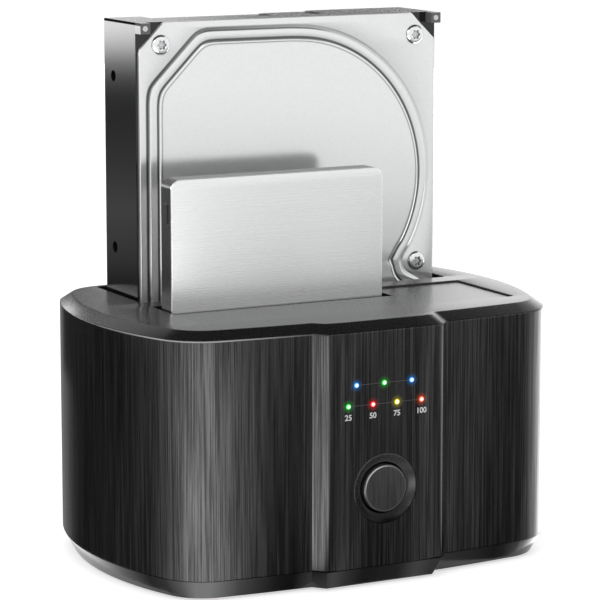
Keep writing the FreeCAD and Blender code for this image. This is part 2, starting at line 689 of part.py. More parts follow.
def make_small_flap(bay_y):
    """Flap for the slim drives, closed, hinged along the bay's back edge."""
    x0 = BAY_LEFT + GAP
    x1 = NOTCH_X - GAP
    y1 = bay_y + BAY_D - GAP
    y0 = y1 - SMALL_FLAP_D
    low = FLAP_TOP - FLAP_T
    hinge_y = hinge_lines(bay_y)[1]
    ear_x = NOTCH_X - GAP - EAR_IN
    rib = box(x0 + FLAP_RIB_W, x1 - FLAP_RIB_W, y0 + FLAP_RIB_W, y0 + 2 * FLAP_RIB_W,
              low - FLAP_RIB_H, low)
    flap = join([box(x0, x1, y0, y1, low, FLAP_TOP), rib]
                + knuckles(x0, ear_x - GAP, hinge_y))
    slot = box(ear_x - GAP, ear_x + EAR_W + GAP, hinge_y - HINGE_DROP, y1, low, FLAP_TOP)
    return flap.cut(pin_bore(hinge_y)).cut(slot).cut(spring_pocket(x0, ear_x - GAP, hinge_y))


def swing(shape, y, degrees):
    """Turns a flap about its hinge line; a positive angle lifts the edge towards +Y."""
    shape = shape.copy()
    shape.rotate(Vector(0, y, HINGE_Z), X_AXIS, degrees)
    return shape


def make_hinge_pins(bay_y):
    big_y, small_y = hinge_lines(bay_y)
    x0 = BAY_LEFT - LINER_T + FIT
    ear_end = NOTCH_X - GAP - EAR_IN + EAR_W
    return [rod(PIN_R, (x0, big_y, HINGE_Z), X_AXIS, BAY_W + 2 * LINER_T - 2 * FIT),
            rod(PIN_R, (x0, small_y, HINGE_Z), X_AXIS, ear_end - x0)]


# ---- connectors
def make_socket(x, bay_y):
    """Board socket for a drive: a wide base that a slim drive rests on, and a slotted nose."""
    y = bay_y + BAY_D - BACK_GAP - PLUG_IN
    base = box(x - SOCKET_L / 2, x + SOCKET_L / 2, y - SOCKET_W / 2, y + SOCKET_W / 2,
               BOARD_TOP, SEAT_25)
    nose = box(x - NOSE_L / 2, x + NOSE_L / 2, y - NOSE_W / 2, y + NOSE_W / 2,
               SEAT_25, SEAT_25 + NOSE_H)
    slot = box(x - NOSE_L / 2 + SLOT_WALL, x + NOSE_L / 2 - SLOT_WALL, y - SLOT_W / 2,
               y + SLOT_W / 2, SEAT_25, SEAT_25 + NOSE_H)
    key = box(x - KEY_AT - KEY_W / 2, x - KEY_AT + KEY_W / 2, y - SLOT_W / 2, y + SLOT_W / 2,
              SEAT_25, SEAT_25 + NOSE_H)
    return join([base, nose]).cut(slot.cut(key))


def make_plug(x, back_y):
    """A drive's own plug: a block with two flat tongues that enter the socket's slot."""
    y = back_y - PLUG_IN
    roof = SEAT_25 + NOSE_H + GAP
    half = NOSE_L / 2 + GAP
    block = box(x - half, x + half, y - NOSE_W / 2 - GAP / 2, y + NOSE_W / 2 + GAP / 2,
                roof, roof + PLUG_H)
    tongue = box(x - NOSE_L / 2 + SLOT_WALL + FIT, x + NOSE_L / 2 - SLOT_WALL - FIT,
                 y - TONGUE_T / 2, y + TONGUE_T / 2, SEAT_25 + GAP, roof)
    gap = box(x - KEY_AT - KEY_W / 2 - FIT, x - KEY_AT + KEY_W / 2 + FIT, y - TONGUE_T / 2,
              y + TONGUE_T / 2, SEAT_25, roof)
    return join([block, tongue.cut(gap)])


def plug_recess(x, back_y, bottom):
    """Space in a drive's lower end for the plug, the nose and, where deeper, the socket base."""
    y = back_y - PLUG_IN
    top = SEAT_25 + NOSE_H + GAP + PLUG_H
    half = NOSE_L / 2 + GAP
    space = box(x - half, x + half, y - NOSE_W / 2 - GAP / 2, y + NOSE_W / 2 + GAP / 2,
                bottom, top)
    if SEAT_25 > bottom:
        wide = SOCKET_L / 2 + GAP
        space = space.fuse(box(x - wide, x + wide, y - SOCKET_W / 2 - GAP, back_y,
                               bottom, SEAT_25 + GAP))
    return space


# ---- boards and what they carry
def board_screw(place, axis, board_t):
    """Hexagon-headed screw through a board into its post."""
    head = peg(BOARD_SCREW_HEAD_R, place, -axis, BOARD_SCREW_HEAD_H, 6)
    length = board_t + BOARD_SCREW_LEN - FIT
    return make_screw(place, axis, head, BOARD_SCREW_R - RUN, length)


def make_main_board():
    board = box(-BOARD_L / 2, BOARD_L / 2, CY - BOARD_D / 2, CY + BOARD_D / 2,
                BOARD_UNDER, BOARD_TOP)
    board = board.common(prism(WALL + LIP_T + BOARD_SHY_OF_LIP, 0, Z_SKIRT + LIP_H))
    holes = [peg(BOARD_SCREW_R + FIT, (x, y, BOARD_UNDER), Z_AXIS, BOARD_T)
             for x, y in mirrored_places(BOARD_POST_X, BOARD_POST_Y)]
    return board.cut(Part.makeCompound(holes))


def make_board_screws():
    return [board_screw((x, y, BOARD_TOP), -Z_AXIS, BOARD_T)
            for x, y in mirrored_places(BOARD_POST_X, BOARD_POST_Y)]


def make_chips():
    """Two bridge chips, a hub chip and a memory chip on the main board, under the bays."""
    chips = []
    for x, y, side, height in CHIPS:
        chips.append(box(x - side / 2, x + side / 2, CY + y - side / 2, CY + y + side / 2,
                         BOARD_TOP, BOARD_TOP + height))
    return chips


def make_capacitors():
    """Three electrolytic capacitors at the left end, where no bay stands over the board."""
    x = -BOARD_L / 2 + CAP_R + CAP_SHY
    return [peg(CAP_R, (x, CY + CAP_PITCH * i, BOARD_TOP), Z_AXIS, CAP_H, MORE) for i in (-1, 0, 1)]


def port_mouth(x):
    """Y of the back wall's outer face at x."""
    return BACK - FRONT_ARC_R + math.sqrt(FRONT_ARC_R ** 2 - x ** 2)


def make_usb_shell():
    y1 = port_mouth(USB_X + USB_W / 2)
    y0 = y1 - PORT_DEPTH
    z0 = BOARD_TOP
    can = box(USB_X - USB_W / 2, USB_X + USB_W / 2, y0, y1, z0, z0 + USB_H)
    return can.cut(usb_mouth(y0 + USB_SKIN, y1))


def usb_mouth(y0, y1):
    """The standard square mouth with two cut corners, and the narrower one over it."""
    z0 = BOARD_TOP + (USB_H - USB_LOWER_H - USB_UPPER_H) / 2
    half = USB_LOWER_W / 2
    lower = standing(polygon([(USB_X - half, z0), (USB_X + half, z0),
                              (USB_X + half, z0 + USB_LOWER_H - USB_CUT),
                              (USB_X + half - USB_CUT, z0 + USB_LOWER_H),
                              (USB_X - half + USB_CUT, z0 + USB_LOWER_H),
                              (USB_X - half, z0 + USB_LOWER_H - USB_CUT)]), y0, y1)
    upper = box(USB_X - USB_UPPER_W / 2, USB_X + USB_UPPER_W / 2, y0, y1,
                z0 + USB_LOWER_H - USB_CUT, z0 + USB_LOWER_H + USB_UPPER_H)
    return join([lower, upper])


def make_usb_tongue():
    """Contact tongues: the square one of the lower mouth and the thin one over it."""
    y1 = port_mouth(USB_X + USB_W / 2) - USB_TONGUE_SHY
    y0 = y1 + USB_TONGUE_SHY - PORT_DEPTH + USB_SKIN
    z0 = BOARD_TOP + (USB_H - USB_LOWER_H - USB_UPPER_H) / 2
    low = z0 + (USB_LOWER_H - USB_TONGUE_T) / 2
    high = z0 + USB_LOWER_H + (USB_UPPER_H - USB_UPPER_TONGUE_T) / 2
    return [box(USB_X - width / 2, USB_X + width / 2, y0, y1, z, z + thick)
            for width, z, thick in ((USB_TONGUE_W, low, USB_TONGUE_T),
                                    (USB_UPPER_TONGUE_W, high, USB_UPPER_TONGUE_T))]


def make_dc_jack():
    mouth = port_mouth(JACK_X - JACK_COLLAR_R)
    inner = mouth - 2 * WALL
    z = BOARD_TOP + JACK_H / 2
    body = box(JACK_X - JACK_W / 2, JACK_X + JACK_W / 2, mouth - PORT_DEPTH, inner,
               BOARD_TOP, BOARD_TOP + JACK_H)
    collar = peg(JACK_COLLAR_R, (JACK_X, inner, z), Y_AXIS, mouth - inner, MANY)
    bore = rod(JACK_BORE_R, (JACK_X, mouth - PORT_DEPTH + JACK_BACK, z), Y_AXIS, PORT_DEPTH)
    return join([body, collar]).cut(bore)


def make_dc_pin():
    mouth = port_mouth(JACK_X - JACK_COLLAR_R)
    z = BOARD_TOP + JACK_H / 2
    return rod(JACK_PIN_R, (JACK_X, mouth - PORT_DEPTH + JACK_BACK, z), Y_AXIS,
               PORT_DEPTH - 2 * JACK_BACK)


def switch_face():
    """Y of the back of the switch's flange, which lies in the window of the bowed wall."""
    return port_mouth(SWITCH_X + SWITCH_W / 2 + SWITCH_FLANGE)


def switch_axis():
    """Y and Z of the rocker's hinge line."""
    y = switch_face() + SWITCH_FLANGE_T + ROCKER_PROUD - ROCKER_R
    return y, BOARD_TOP + SWITCH_FLANGE + SWITCH_H / 2


def make_switch_body():
    face = switch_face()
    z0 = BOARD_TOP + SWITCH_FLANGE
    z1 = z0 + SWITCH_H
    body = box(SWITCH_X - SWITCH_W / 2, SWITCH_X + SWITCH_W / 2, face - PORT_DEPTH + SWITCH_WALL, face,
               z0, z1)
    flange = box(SWITCH_X - SWITCH_W / 2 - SWITCH_FLANGE, SWITCH_X + SWITCH_W / 2 + SWITCH_FLANGE,
                 face, face + SWITCH_FLANGE_T, z0 - SWITCH_FLANGE, z1 + SWITCH_FLANGE)
    hole = box(SWITCH_X - ROCKER_W / 2 - GAP / 2, SWITCH_X + ROCKER_W / 2 + GAP / 2,
               face - PORT_DEPTH + 2 * SWITCH_WALL, face + SWITCH_FLANGE_T, z0 + SWITCH_WALL,
               z1 - SWITCH_WALL)
    y, z = switch_axis()
    reach = ROCKER_W / 2 + PIVOT_L + RUN
    bearings = rod(PIVOT_R + RUN, (SWITCH_X - reach, y, z), X_AXIS, 2 * reach)
    return join([body, flange]).cut(hole).cut(bearings)


def make_power_rocker():
    """Rocker with two flat pads that meet in a shallow V and a pin at either side, tipped to off."""
    y, z = switch_axis()
    half = ROCKER_H / 2
    root = half - ROCKER_DRAFT
    pads = [(y + ROCKER_R - ROCKER_DIP, z), (y + ROCKER_R, z + half), (y, z + root),
            (y - ROCKER_KEEL, z), (y, z - root), (y + ROCKER_R, z - half)]
    rocker = section_yz(pads, SWITCH_X - ROCKER_W / 2, SWITCH_X + ROCKER_W / 2)
    reach = ROCKER_W / 2 + PIVOT_L
    rocker = rocker.fuse(rod(PIVOT_R, (SWITCH_X - reach, y, z), X_AXIS, 2 * reach))
    rocker.rotate(Vector(0, y, z), X_AXIS, ROCKER_TILT)
    return rocker


# ---- control panel
def front_board_extent():
    """Lowest and highest Z of the board behind the panel."""
    top = Z_TOP - ROW_1_Z + FRONT_BOARD_MARGIN
    return Z_TOP - BUTTON_Z - FRONT_BOARD_MARGIN, top


def front_board_holes():
    low, high = front_board_extent()
    x = FRONT_BOARD_W / 2 - POST_IN
    return [(sx * x, z) for sx in (-1, 1) for z in (low + POST_IN, high - POST_IN)]


def make_front_board():
    low, high = front_board_extent()
    board = box(-FRONT_BOARD_W / 2, FRONT_BOARD_W / 2, FRONT_BOARD_Y,
                FRONT_BOARD_Y + FRONT_BOARD_T, low, high)
    holes = [peg(BOARD_SCREW_R + FIT, (x, FRONT_BOARD_Y, z), Y_AXIS, FRONT_BOARD_T)
             for x, z in front_board_holes()]
    return board.cut(Part.makeCompound(holes))


def make_front_board_screws():
    back = FRONT_BOARD_Y + FRONT_BOARD_T
    return [board_screw((x, back, z), -Y_AXIS, FRONT_BOARD_T) for x, z in front_board_holes()]


def lamp_places():
    first = [(x, Z_TOP - ROW_1_Z) for x in ROW_1_X]
    second = [(x, Z_TOP - ROW_2_Z) for x in ROW_2_X]
    return first + second


def make_lamp(x, z):
    """Light guide: a fine nose through the panel on a thicker body that reaches to its LED."""
    nose = peg(LAMP_R, (x, PANEL_Y, z), Y_AXIS, WALL)
    end = FRONT_BOARD_Y - LED_T - FIT
    body = peg(LAMP_BODY_R, (x, PANEL_Y + WALL, z), Y_AXIS, end - PANEL_Y - WALL)
    return join([nose, body])


def make_led_chips():
    return [box(x - LED_W / 2, x + LED_W / 2, FRONT_BOARD_Y - LED_T, FRONT_BOARD_Y,
                z - LED_H / 2, z + LED_H / 2) for x, z in lamp_places()]


def turned(profile, z):
    """Revolves (radius, y) points about the button's axis."""
    corners = [Vector(r, y, z) for r, y in profile]
    face = Part.Face(Part.makePolygon(corners + corners[:1]))
    return face.revolve(Vector(0, 0, z), Y_AXIS, 360)


def make_button_bezel():
    """Dished ring set flush in the panel, with a flange behind it."""
    back = PANEL_Y + WALL
    z = Z_TOP - BUTTON_Z
    profile = [(BEZEL_BORE, PANEL_Y + BEZEL_DISH), (BEZEL_R - BEZEL_LIP, PANEL_Y),
               (BEZEL_R, PANEL_Y), (BEZEL_R, back), (BEZEL_BORE, back)]
    flange = peg(BEZEL_FLANGE_R, (0, back, z), Y_AXIS, BEZEL_FLANGE_T, MANY)
    hole = peg(BEZEL_FLANGE_BORE, (0, back, z), Y_AXIS, BEZEL_FLANGE_T, MANY)
    return join([turned(profile, z), flange.cut(hole)])


def make_clone_button():
    """Round push button with an eased edge, a stop flange behind the bezel and a short stem."""
    z = Z_TOP - BUTTON_Z
    face = PANEL_Y - BUTTON_PROUD
    flange = PANEL_Y + WALL + BEZEL_FLANGE_T + FIT
    profile = [(0, face), (BUTTON_R - BUTTON_EASE, face), (BUTTON_R, face + BUTTON_EASE),
               (BUTTON_R, flange), (0, flange)]
    back = flange + BUTTON_FLANGE_T
    return join([turned(profile, z),
                 peg(BUTTON_FLANGE_R, (0, flange, z), Y_AXIS, BUTTON_FLANGE_T, MANY),
                 peg(BUTTON_STEM_R, (0, back, z), Y_AXIS, BUTTON_TRAVEL)])


def make_clone_switch():
    z = Z_TOP - BUTTON_Z
    half = TACT_W / 2
    body = box(-half, half, FRONT_BOARD_Y - TACT_T, FRONT_BOARD_Y, z - half, z + half)
    plunger = peg(TACT_PLUNGER_R, (0, FRONT_BOARD_Y - TACT_T - TACT_PLUNGER_H, z), Y_AXIS,
                  TACT_PLUNGER_H, MORE)
    return join([body, plunger])


# ---- 3.5-inch drive, standing in the rear bay with its cover to the front
HDD_BACK = REAR_BAY + BAY_D - BACK_GAP
HDD_FRONT = HDD_BACK - HDD_T


def cover_step(inset, y0, y1):
    """One pressed step of the cover: straight on the left, round over the discs and the screws."""
    left = STEP_LEFT + inset
    right = HDD_W - STEP_IN - inset
    top = PLATTER_Z + PLATTER_R - inset
    bottom = STEP_BOTTOM + inset
    slant = STEP_CHAMFER - inset * (2 - math.sqrt(2))
    shoulder = COVER_SCREWS[2][1]
    flat = polygon([(left, bottom), (right, bottom), (right, shoulder), (PLATTER_X, shoulder),
                    (PLATTER_X, top), (left + slant, top), (left, top - slant)])
    disc = rod(PLATTER_R - inset, (PLATTER_X, y0, PLATTER_Z), Y_AXIS, y1 - y0)
    clear = [rod(SCREW_CLEAR_R + inset, (x, y0, z), Y_AXIS, y1 - y0) for x, z in COVER_SCREWS]
    return join([standing(flat, y0, y1), disc]).cut(Part.makeCompound(clear))


def make_hdd_cover():
    face = HDD_FRONT + HDD_COVER_BACK
    c = HDD_CHAMFER
    low = HDD_EDGE
    right = HDD_W - HDD_EDGE
    base = polygon([(low, low), (right, low), (right, HDD_L - c), (right - c, HDD_L),
                    (low + c, HDD_L), (low, HDD_L - c)])
    level_0 = face + 2 * HDD_STEP
    plate = standing(base, level_0, level_0 + HDD_COVER_T)
    step_1 = cover_step(0, face + HDD_STEP, level_0)
    step_2 = cover_step(STEP_BAND, face, face + HDD_STEP)
    cover = join([plate, step_1, step_2])
    cover.translate(Vector(HDD_X, 0, SEAT_35))
    return cover


def make_hdd_casting():
    """Cast tub: corner tabs at the top, mounting holes in the sides, a motor boss behind."""
    front = HDD_FRONT + HDD_COVER_BACK + 2 * HDD_STEP + HDD_COVER_T
    back = HDD_BACK - HDD_BOARD_T
    body = box(0, HDD_W, front, back, 0, HDD_L)
    tabs = []
    for x in (0, HDD_W - TAB_W):
        tab = box(x, x + TAB_W, HDD_FRONT, front, HDD_L - TAB_W, HDD_L)
        hole = peg(TAB_HOLE_R, (x + TAB_W / 2, HDD_FRONT, HDD_L - TAB_W / 2), Y_AXIS, TAB_HOLE_DEPTH)
        tabs.append(tab.cut(hole))
    frame = box(0, HDD_W, back, HDD_BACK, 0, HDD_L)
    frame = frame.cut(box(TAB_W, HDD_W - TAB_W, back, HDD_BACK, 0, HDD_L - 3 * TAB_W))
    wall = HDD_WALL
    chamber = box(wall, HDD_W - wall, front, back - wall, 3 * wall, HDD_L - wall)
    casting = join([body, frame] + tabs).cut(chamber)
    for x0, x1, depth in END_RECESSES:
        casting = casting.cut(box(x0, x1, HDD_BACK - END_RECESS_D, HDD_BACK, HDD_L - depth, HDD_L))
    casting.translate(Vector(HDD_X, 0, SEAT_35))
    cuts = []
    hole_y = HDD_BACK - SIDE_HOLE_UP
    for z in SIDE_HOLES:
        for x in (HDD_X, HDD_X + HDD_W - SIDE_HOLE_DEPTH):
            cuts.append(peg(SIDE_HOLE_R, (x, hole_y, SEAT_35 + z), X_AXIS, SIDE_HOLE_DEPTH, MORE))
    cuts.append(plug_recess(HDD_X + HDD_PLUG_AT, HDD_BACK, SEAT_35))
    return casting.cut(Part.makeCompound(cuts))


def make_hdd_board():
    """Circuit board let into the casting's back."""
    back = HDD_BACK - HDD_BOARD_T
    board = box(HDD_X + TAB_W + FIT, HDD_X + HDD_W - TAB_W - FIT, back, HDD_BACK,
                SEAT_35, SEAT_35 + HDD_L - 3 * TAB_W - FIT)
    motor = peg(MOTOR_R, (HDD_X + PLATTER_X, back, SEAT_35 + PLATTER_Z), Y_AXIS, HDD_BOARD_T,
                MANY)
    return board.cut(motor).cut(plug_recess(HDD_X + HDD_PLUG_AT, HDD_BACK, SEAT_35))


def make_hdd_screws():
    """Star-socket screws round the cover."""
    seat = HDD_FRONT + HDD_COVER_BACK + 2 * HDD_STEP
    screws = []
    for x, z in COVER_SCREWS:
        head = peg(COVER_SCREW_R, (HDD_X + x, seat - COVER_SCREW_H, SEAT_35 + z), Y_AXIS,
                   COVER_SCREW_H, MANY)
        socket = peg(STAR_R, (HDD_X + x, seat - COVER_SCREW_H, SEAT_35 + z), Y_AXIS,
                     STAR_DEPTH, 6)
        screws.append(head.cut(socket))
    return screws


# ---- 2.5-inch drive, standing in the front bay
SSD_BACK = FRONT_BAY + BAY_D - BACK_GAP
SSD_FRONT = SSD_BACK - SSD_T


def ssd_outline():
    return rounded_face(SSD_X, SSD_X + SSD_W, SEAT_25, SEAT_25 + SSD_L, SSD_CORNER_R)


def make_ssd_case():
    """Tray of the drive, with a small snap on its left side."""
    case = standing(ssd_outline(), SSD_FRONT + SSD_FACE_T, SSD_BACK)
    snap_top = SEAT_25 + SSD_L - SSD_SNAP_DOWN
    middle = (SSD_FRONT + SSD_FACE_T + SSD_BACK) / 2
    snap = box(SSD_X - SSD_SNAP_T, SSD_X, middle - SSD_SNAP_W / 2, middle + SSD_SNAP_W / 2,
               snap_top - SSD_SNAP_L, snap_top)
    return join([case, snap]).cut(plug_recess(SSD_X + SSD_PLUG_AT, SSD_BACK, SEAT_25))


def make_ssd_face():
    """Brushed plate over the whole front of the drive."""
    return standing(ssd_outline(), SSD_FRONT, SSD_FRONT + SSD_FACE_T)


# ---- every node of the part
def build_nodes():
    lamps = [make_lamp(x, z) for x, z in lamp_places()]
    front_small_y = hinge_lines(FRONT_BAY)[1]
    rear_big_y, rear_small_y = hinge_lines(REAR_BAY)
    front_x = SSD_X + SSD_PLUG_AT
    rear_x = HDD_X + HDD_PLUG_AT
    return {
        "wall_shell": make_wall_shell(),
        "top_cover": make_top_cover(),
        "base_tray": make_base_tray(),
        "rubber_feet": make_rubber_feet(),
        "case_screws": make_case_screws(),
        "front_bay_liner": make_bay_liner(FRONT_BAY, front_x),
        "rear_bay_liner": make_bay_liner(REAR_BAY, rear_x),
        "front_hinge_pins": make_hinge_pins(FRONT_BAY),
        "rear_hinge_pins": make_hinge_pins(REAR_BAY),
        "front_big_flap": make_big_flap(FRONT_BAY),
        "front_small_flap": swing(make_small_flap(FRONT_BAY), front_small_y, 90),
        "rear_big_flap": swing(make_big_flap(REAR_BAY), rear_big_y, BIG_FLAP_LEAN - 90),
        "rear_small_flap": swing(make_small_flap(REAR_BAY), rear_small_y, 90 - SMALL_FLAP_LEAN),
        "front_big_spring": big_spring(FRONT_BAY),
        "front_small_spring": swing(small_spring(FRONT_BAY), front_small_y, 90),
        "rear_big_spring": swing(big_spring(REAR_BAY), rear_big_y, BIG_FLAP_LEAN - 90),
        "rear_small_spring": swing(small_spring(REAR_BAY), rear_small_y, 90 - SMALL_FLAP_LEAN),
        "main_board": make_main_board(),
        "board_screws": make_board_screws(),
        "board_chips": make_chips(),
        "capacitors": make_capacitors(),
        "front_socket": make_socket(front_x, FRONT_BAY),
        "rear_socket": make_socket(rear_x, REAR_BAY),
        "usb_shell": make_usb_shell(),
        "usb_tongues": make_usb_tongue(),
        "dc_jack": make_dc_jack(),
        "dc_pin": make_dc_pin(),
        "switch_body": make_switch_body(),
        "power_rocker": make_power_rocker(),
        "front_board": make_front_board(),
        "front_board_screws": make_front_board_screws(),
        "led_chips": make_led_chips(),
        "lamps_blue": [lamps[0], lamps[2]],
        "lamps_green": [lamps[1], lamps[3]],
        "lamp_red": lamps[4],
        "lamp_yellow": lamps[5],
        "lamp_orange": lamps[6],
        "button_bezel": make_button_bezel(),
        "clone_button": make_clone_button(),
        "clone_switch": make_clone_switch(),
        "hdd_casting": make_hdd_casting(),
        "hdd_cover": make_hdd_cover(),
        "hdd_cover_screws": make_hdd_screws(),
        "hdd_board": make_hdd_board(),
        "hdd_plug": make_plug(rear_x, HDD_BACK),
        "ssd_case": make_ssd_case(),
        "ssd_face": make_ssd_face(),
        "ssd_plug": make_plug(front_x, SSD_BACK),
    }


os.makedirs("parts", exist_ok=True)
for node, shape in build_nodes().items():
    if isinstance(shape, list):
        shape = Part.makeCompound(shape)
    shape.exportStep("parts/" + node + ".step")
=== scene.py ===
import math

import bmesh
import bpy
import numpy as np
from mathutils import Matrix, Vector


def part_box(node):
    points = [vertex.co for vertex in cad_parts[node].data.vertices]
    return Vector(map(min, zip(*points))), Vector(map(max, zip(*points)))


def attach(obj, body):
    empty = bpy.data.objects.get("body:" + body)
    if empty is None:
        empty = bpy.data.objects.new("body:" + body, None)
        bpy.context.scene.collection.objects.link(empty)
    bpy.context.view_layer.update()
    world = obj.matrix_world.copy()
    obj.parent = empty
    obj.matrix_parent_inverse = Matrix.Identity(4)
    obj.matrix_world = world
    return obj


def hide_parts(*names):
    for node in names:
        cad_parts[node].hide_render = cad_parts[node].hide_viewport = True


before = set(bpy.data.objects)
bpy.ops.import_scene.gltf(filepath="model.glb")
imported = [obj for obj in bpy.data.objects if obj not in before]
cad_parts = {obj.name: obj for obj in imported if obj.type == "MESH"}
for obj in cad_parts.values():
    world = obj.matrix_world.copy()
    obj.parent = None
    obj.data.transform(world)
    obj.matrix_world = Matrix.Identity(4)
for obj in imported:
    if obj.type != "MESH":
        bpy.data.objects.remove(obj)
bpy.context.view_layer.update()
MM = 0.001


# ---------------------------------------------------------------- the wall
# The tall ring round the dock: one aluminium-skinned moulding, bowed on all four sides, with a
# flat panel standing out of the front. It is brushed upright, then dyed black, and its two rims
# are eased where it meets the top and the base.
BOW_R = 419.0 * MM        # long walls, seen from above
END_R = 98.0 * MM         # end walls
CORNER_R = 16.7 * MM
PANEL_PROUD = 3.0 * MM
PANEL_ROOT = 22.0 * MM    # half widths of the panel, where it leaves the wall and at its face
PANEL_FACE = 19.0 * MM
PANEL_EASE = 8.0 * MM     # how far in from its edges the panel's face curves back, and how much
PANEL_CROWN = 0.55 * MM
FACE_POINTS = 33          # along the panel's face, so that the middle one is on its centre line
WALL_T = 2.0 * MM
RIM_EASE = 0.35 * MM
wall_low, wall_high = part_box("wall_shell")
half_length = wall_high.x
back_y = wall_high.y
panel_y = wall_low.y
front_y = panel_y + PANEL_PROUD
middle_y = (front_y + back_y) / 2
bow_y = front_y + BOW_R
end_x = half_length - END_R


def corner_centre():
    """Centre of the front right corner: a corner radius inside both the bow and the end bow."""
    apart = math.hypot(end_x, bow_y - middle_y)
    to_bow = BOW_R - CORNER_R
    to_end = END_R - CORNER_R
    along = (to_bow**2 - to_end**2 + apart**2) / (2 * apart)
    across = math.sqrt(to_bow**2 - along**2)
    ux = end_x / apart
    uy = (middle_y - bow_y) / apart
    return along * ux - across * uy, bow_y + along * uy + across * ux


def sweep(centre, radius, start, end, count):
    """Points on an arc: the centre plus the radius times (cosine, sine) of even angles."""
    angle = np.linspace(start, end, count)
    return np.column_stack([centre[0] + radius * np.cos(angle),
                            centre[1] + radius * np.sin(angle)])


def outline(inset):
    """Plan of the housing moved in by inset: arcs for the bows, ends and corners, and straight
    lines, each moved along its own normal, for the panel. Counter-clockwise from the panel."""
    fx, fy = corner_centre()
    a_bow = math.atan2(fy - bow_y, fx)
    a_end = math.atan2(fy - middle_y, fx - end_x)
    r_bow = BOW_R - inset
    r_end = END_R - inset
    r_corner = CORNER_R - inset
    root_y = bow_y - math.sqrt(BOW_R**2 - PANEL_ROOT**2)
    run = np.array([PANEL_ROOT - PANEL_FACE, root_y - panel_y])
    run /= np.hypot(*run)
    start = np.array([PANEL_FACE - run[1] * inset, panel_y + run[0] * inset])
    face_x = start[0] + run[0] * (panel_y + inset - start[1]) / run[1]
    offset = start - (0, bow_y)
    half_b = offset @ run
    reach = -half_b - math.sqrt(half_b**2 - offset @ offset + r_bow**2)
    root = start + run * reach
    a_root = math.atan2(root[1] - bow_y, root[0])
    face = np.linspace((-face_x, panel_y + inset), (face_x, panel_y + inset),
                       FACE_POINTS)
    past = np.clip(np.abs(face[:, 0]) - face_x + PANEL_EASE, 0, None) / PANEL_EASE
    face[:, 1] += PANEL_CROWN * past**2
    side = np.linspace(face[-1], root, 4)[1:-1]
    bow = sweep((0, bow_y), r_bow, a_root, a_bow, 40)
    corner = sweep((fx, fy), r_corner, a_bow, a_end, 28)[1:]
    end = sweep((end_x, middle_y), r_end, a_end, 0, 24)[1:]
    front = np.vstack([side, bow, corner, end])
    back_bow = sweep((0, bow_y), r_bow, a_bow, -math.pi / 2, 52)[1:-1]
    back = np.vstack([corner[::-1], sweep((fx, fy), r_corner, a_bow, a_bow, 1), back_bow])
    right = np.vstack([front, end[-2::-1] * (1, -1) + (0, 2 * middle_y),
                       back * (1, -1) + (0, 2 * middle_y)])
    last = np.array([[0, 2 * middle_y - bow_y + r_bow]])
    return np.vstack([face, right, last, right[::-1] * (-1, 1)])


def around(profile):
    """Band round the housing: each profile point (inset, height) gives one whole outline."""
    return np.stack([np.column_stack([loop, np.full(len(loop), z)])
                     for loop, z in ((outline(inset), z) for inset, z in profile)])


def round_corner(corner, start, end, radius, count=5):
    """Quarter round from the line towards start to the line towards end, near the corner: the
    corner plus both unit directions times the radius, less an arc of that radius."""
    corner = np.array(corner, float)
    u = np.array(start, float) - corner
    v = np.array(end, float) - corner
    u /= np.hypot(*u)
    v /= np.hypot(*v)
    angle = np.linspace(0, math.pi / 2, count)[:, None]
    return corner + radius * (u * (1 - np.sin(angle)) + v * (1 - np.cos(angle)))


def grid_faces(rows, columns, wrap_rows=False, wrap_columns=True):
    """Four-sided faces of a grid of points, joined end to end where it wraps."""
    i = np.arange(rows if wrap_rows else rows - 1)[:, None]
    j = np.arange(columns if wrap_columns else columns - 1)[None, :]
    below = (i + 1) % rows
    beside = (j + 1) % columns
    corners = (i * columns + j, i * columns + beside,
               below * columns + beside, below * columns + j)
    return np.stack([c.ravel() for c in np.broadcast_arrays(*corners)], axis=1)


def band(grid, wrap_rows=False, wrap_columns=True):
    """A grid of points as (points, faces)."""
    rows, columns = grid.shape[:2]
    return grid.reshape(-1, 3), grid_faces(rows, columns, wrap_rows, wrap_columns)


def build(name, parts, sharp=40, weld=0.002 * MM, place=None):
    """One mesh from (points, faces) parts: joined, welded, turned outwards and smooth up to the
    sharp angle. place is applied to the points. A part may have a third item, a number for each
    point, which materials read as the attribute shade."""
    mesh = bpy.data.meshes.new(name)
    points = []
    faces = []
    shades = []
    count = 0
    for some_points, some_faces, *shade in parts:
        points.append(some_points)
        faces.extend((some_faces + count).tolist())
        shades.append(shade[0] if shade else np.zeros(len(some_points)))
        count += len(some_points)
    mesh.from_pydata(np.vstack(points), [], faces)
    layer = mesh.attributes.new("shade", "FLOAT", "POINT")
    layer.data.foreach_set("value", np.concatenate(shades))
    if place is not None:
        mesh.transform(place)
    shaped = bmesh.new()
    shaped.from_mesh(mesh)
    bmesh.ops.remove_doubles(shaped, verts=shaped.verts, dist=weld)
    bmesh.ops.dissolve_degenerate(shaped, dist=weld, edges=shaped.edges)
    bmesh.ops.recalc_face_normals(shaped, faces=shaped.faces)
    shaped.to_mesh(mesh)
    shaped.free()
    mesh.polygons.foreach_set("use_smooth", np.ones(len(mesh.polygons), bool))
    mesh.set_sharp_from_angle(angle=math.radians(sharp))
    made = bpy.data.objects.new(name, mesh)
    bpy.context.collection.objects.link(made)
    return made


def srgb(code):
    """Linear colour of an sRGB hex value."""
    value = np.array([int(code[i:i + 2], 16) for i in (1, 3, 5)]) / 255
    linear = np.where(value <= 0.04045, value / 12.92, ((value + 0.055) / 1.055) ** 2.4)
    return (*linear.tolist(), 1.0)


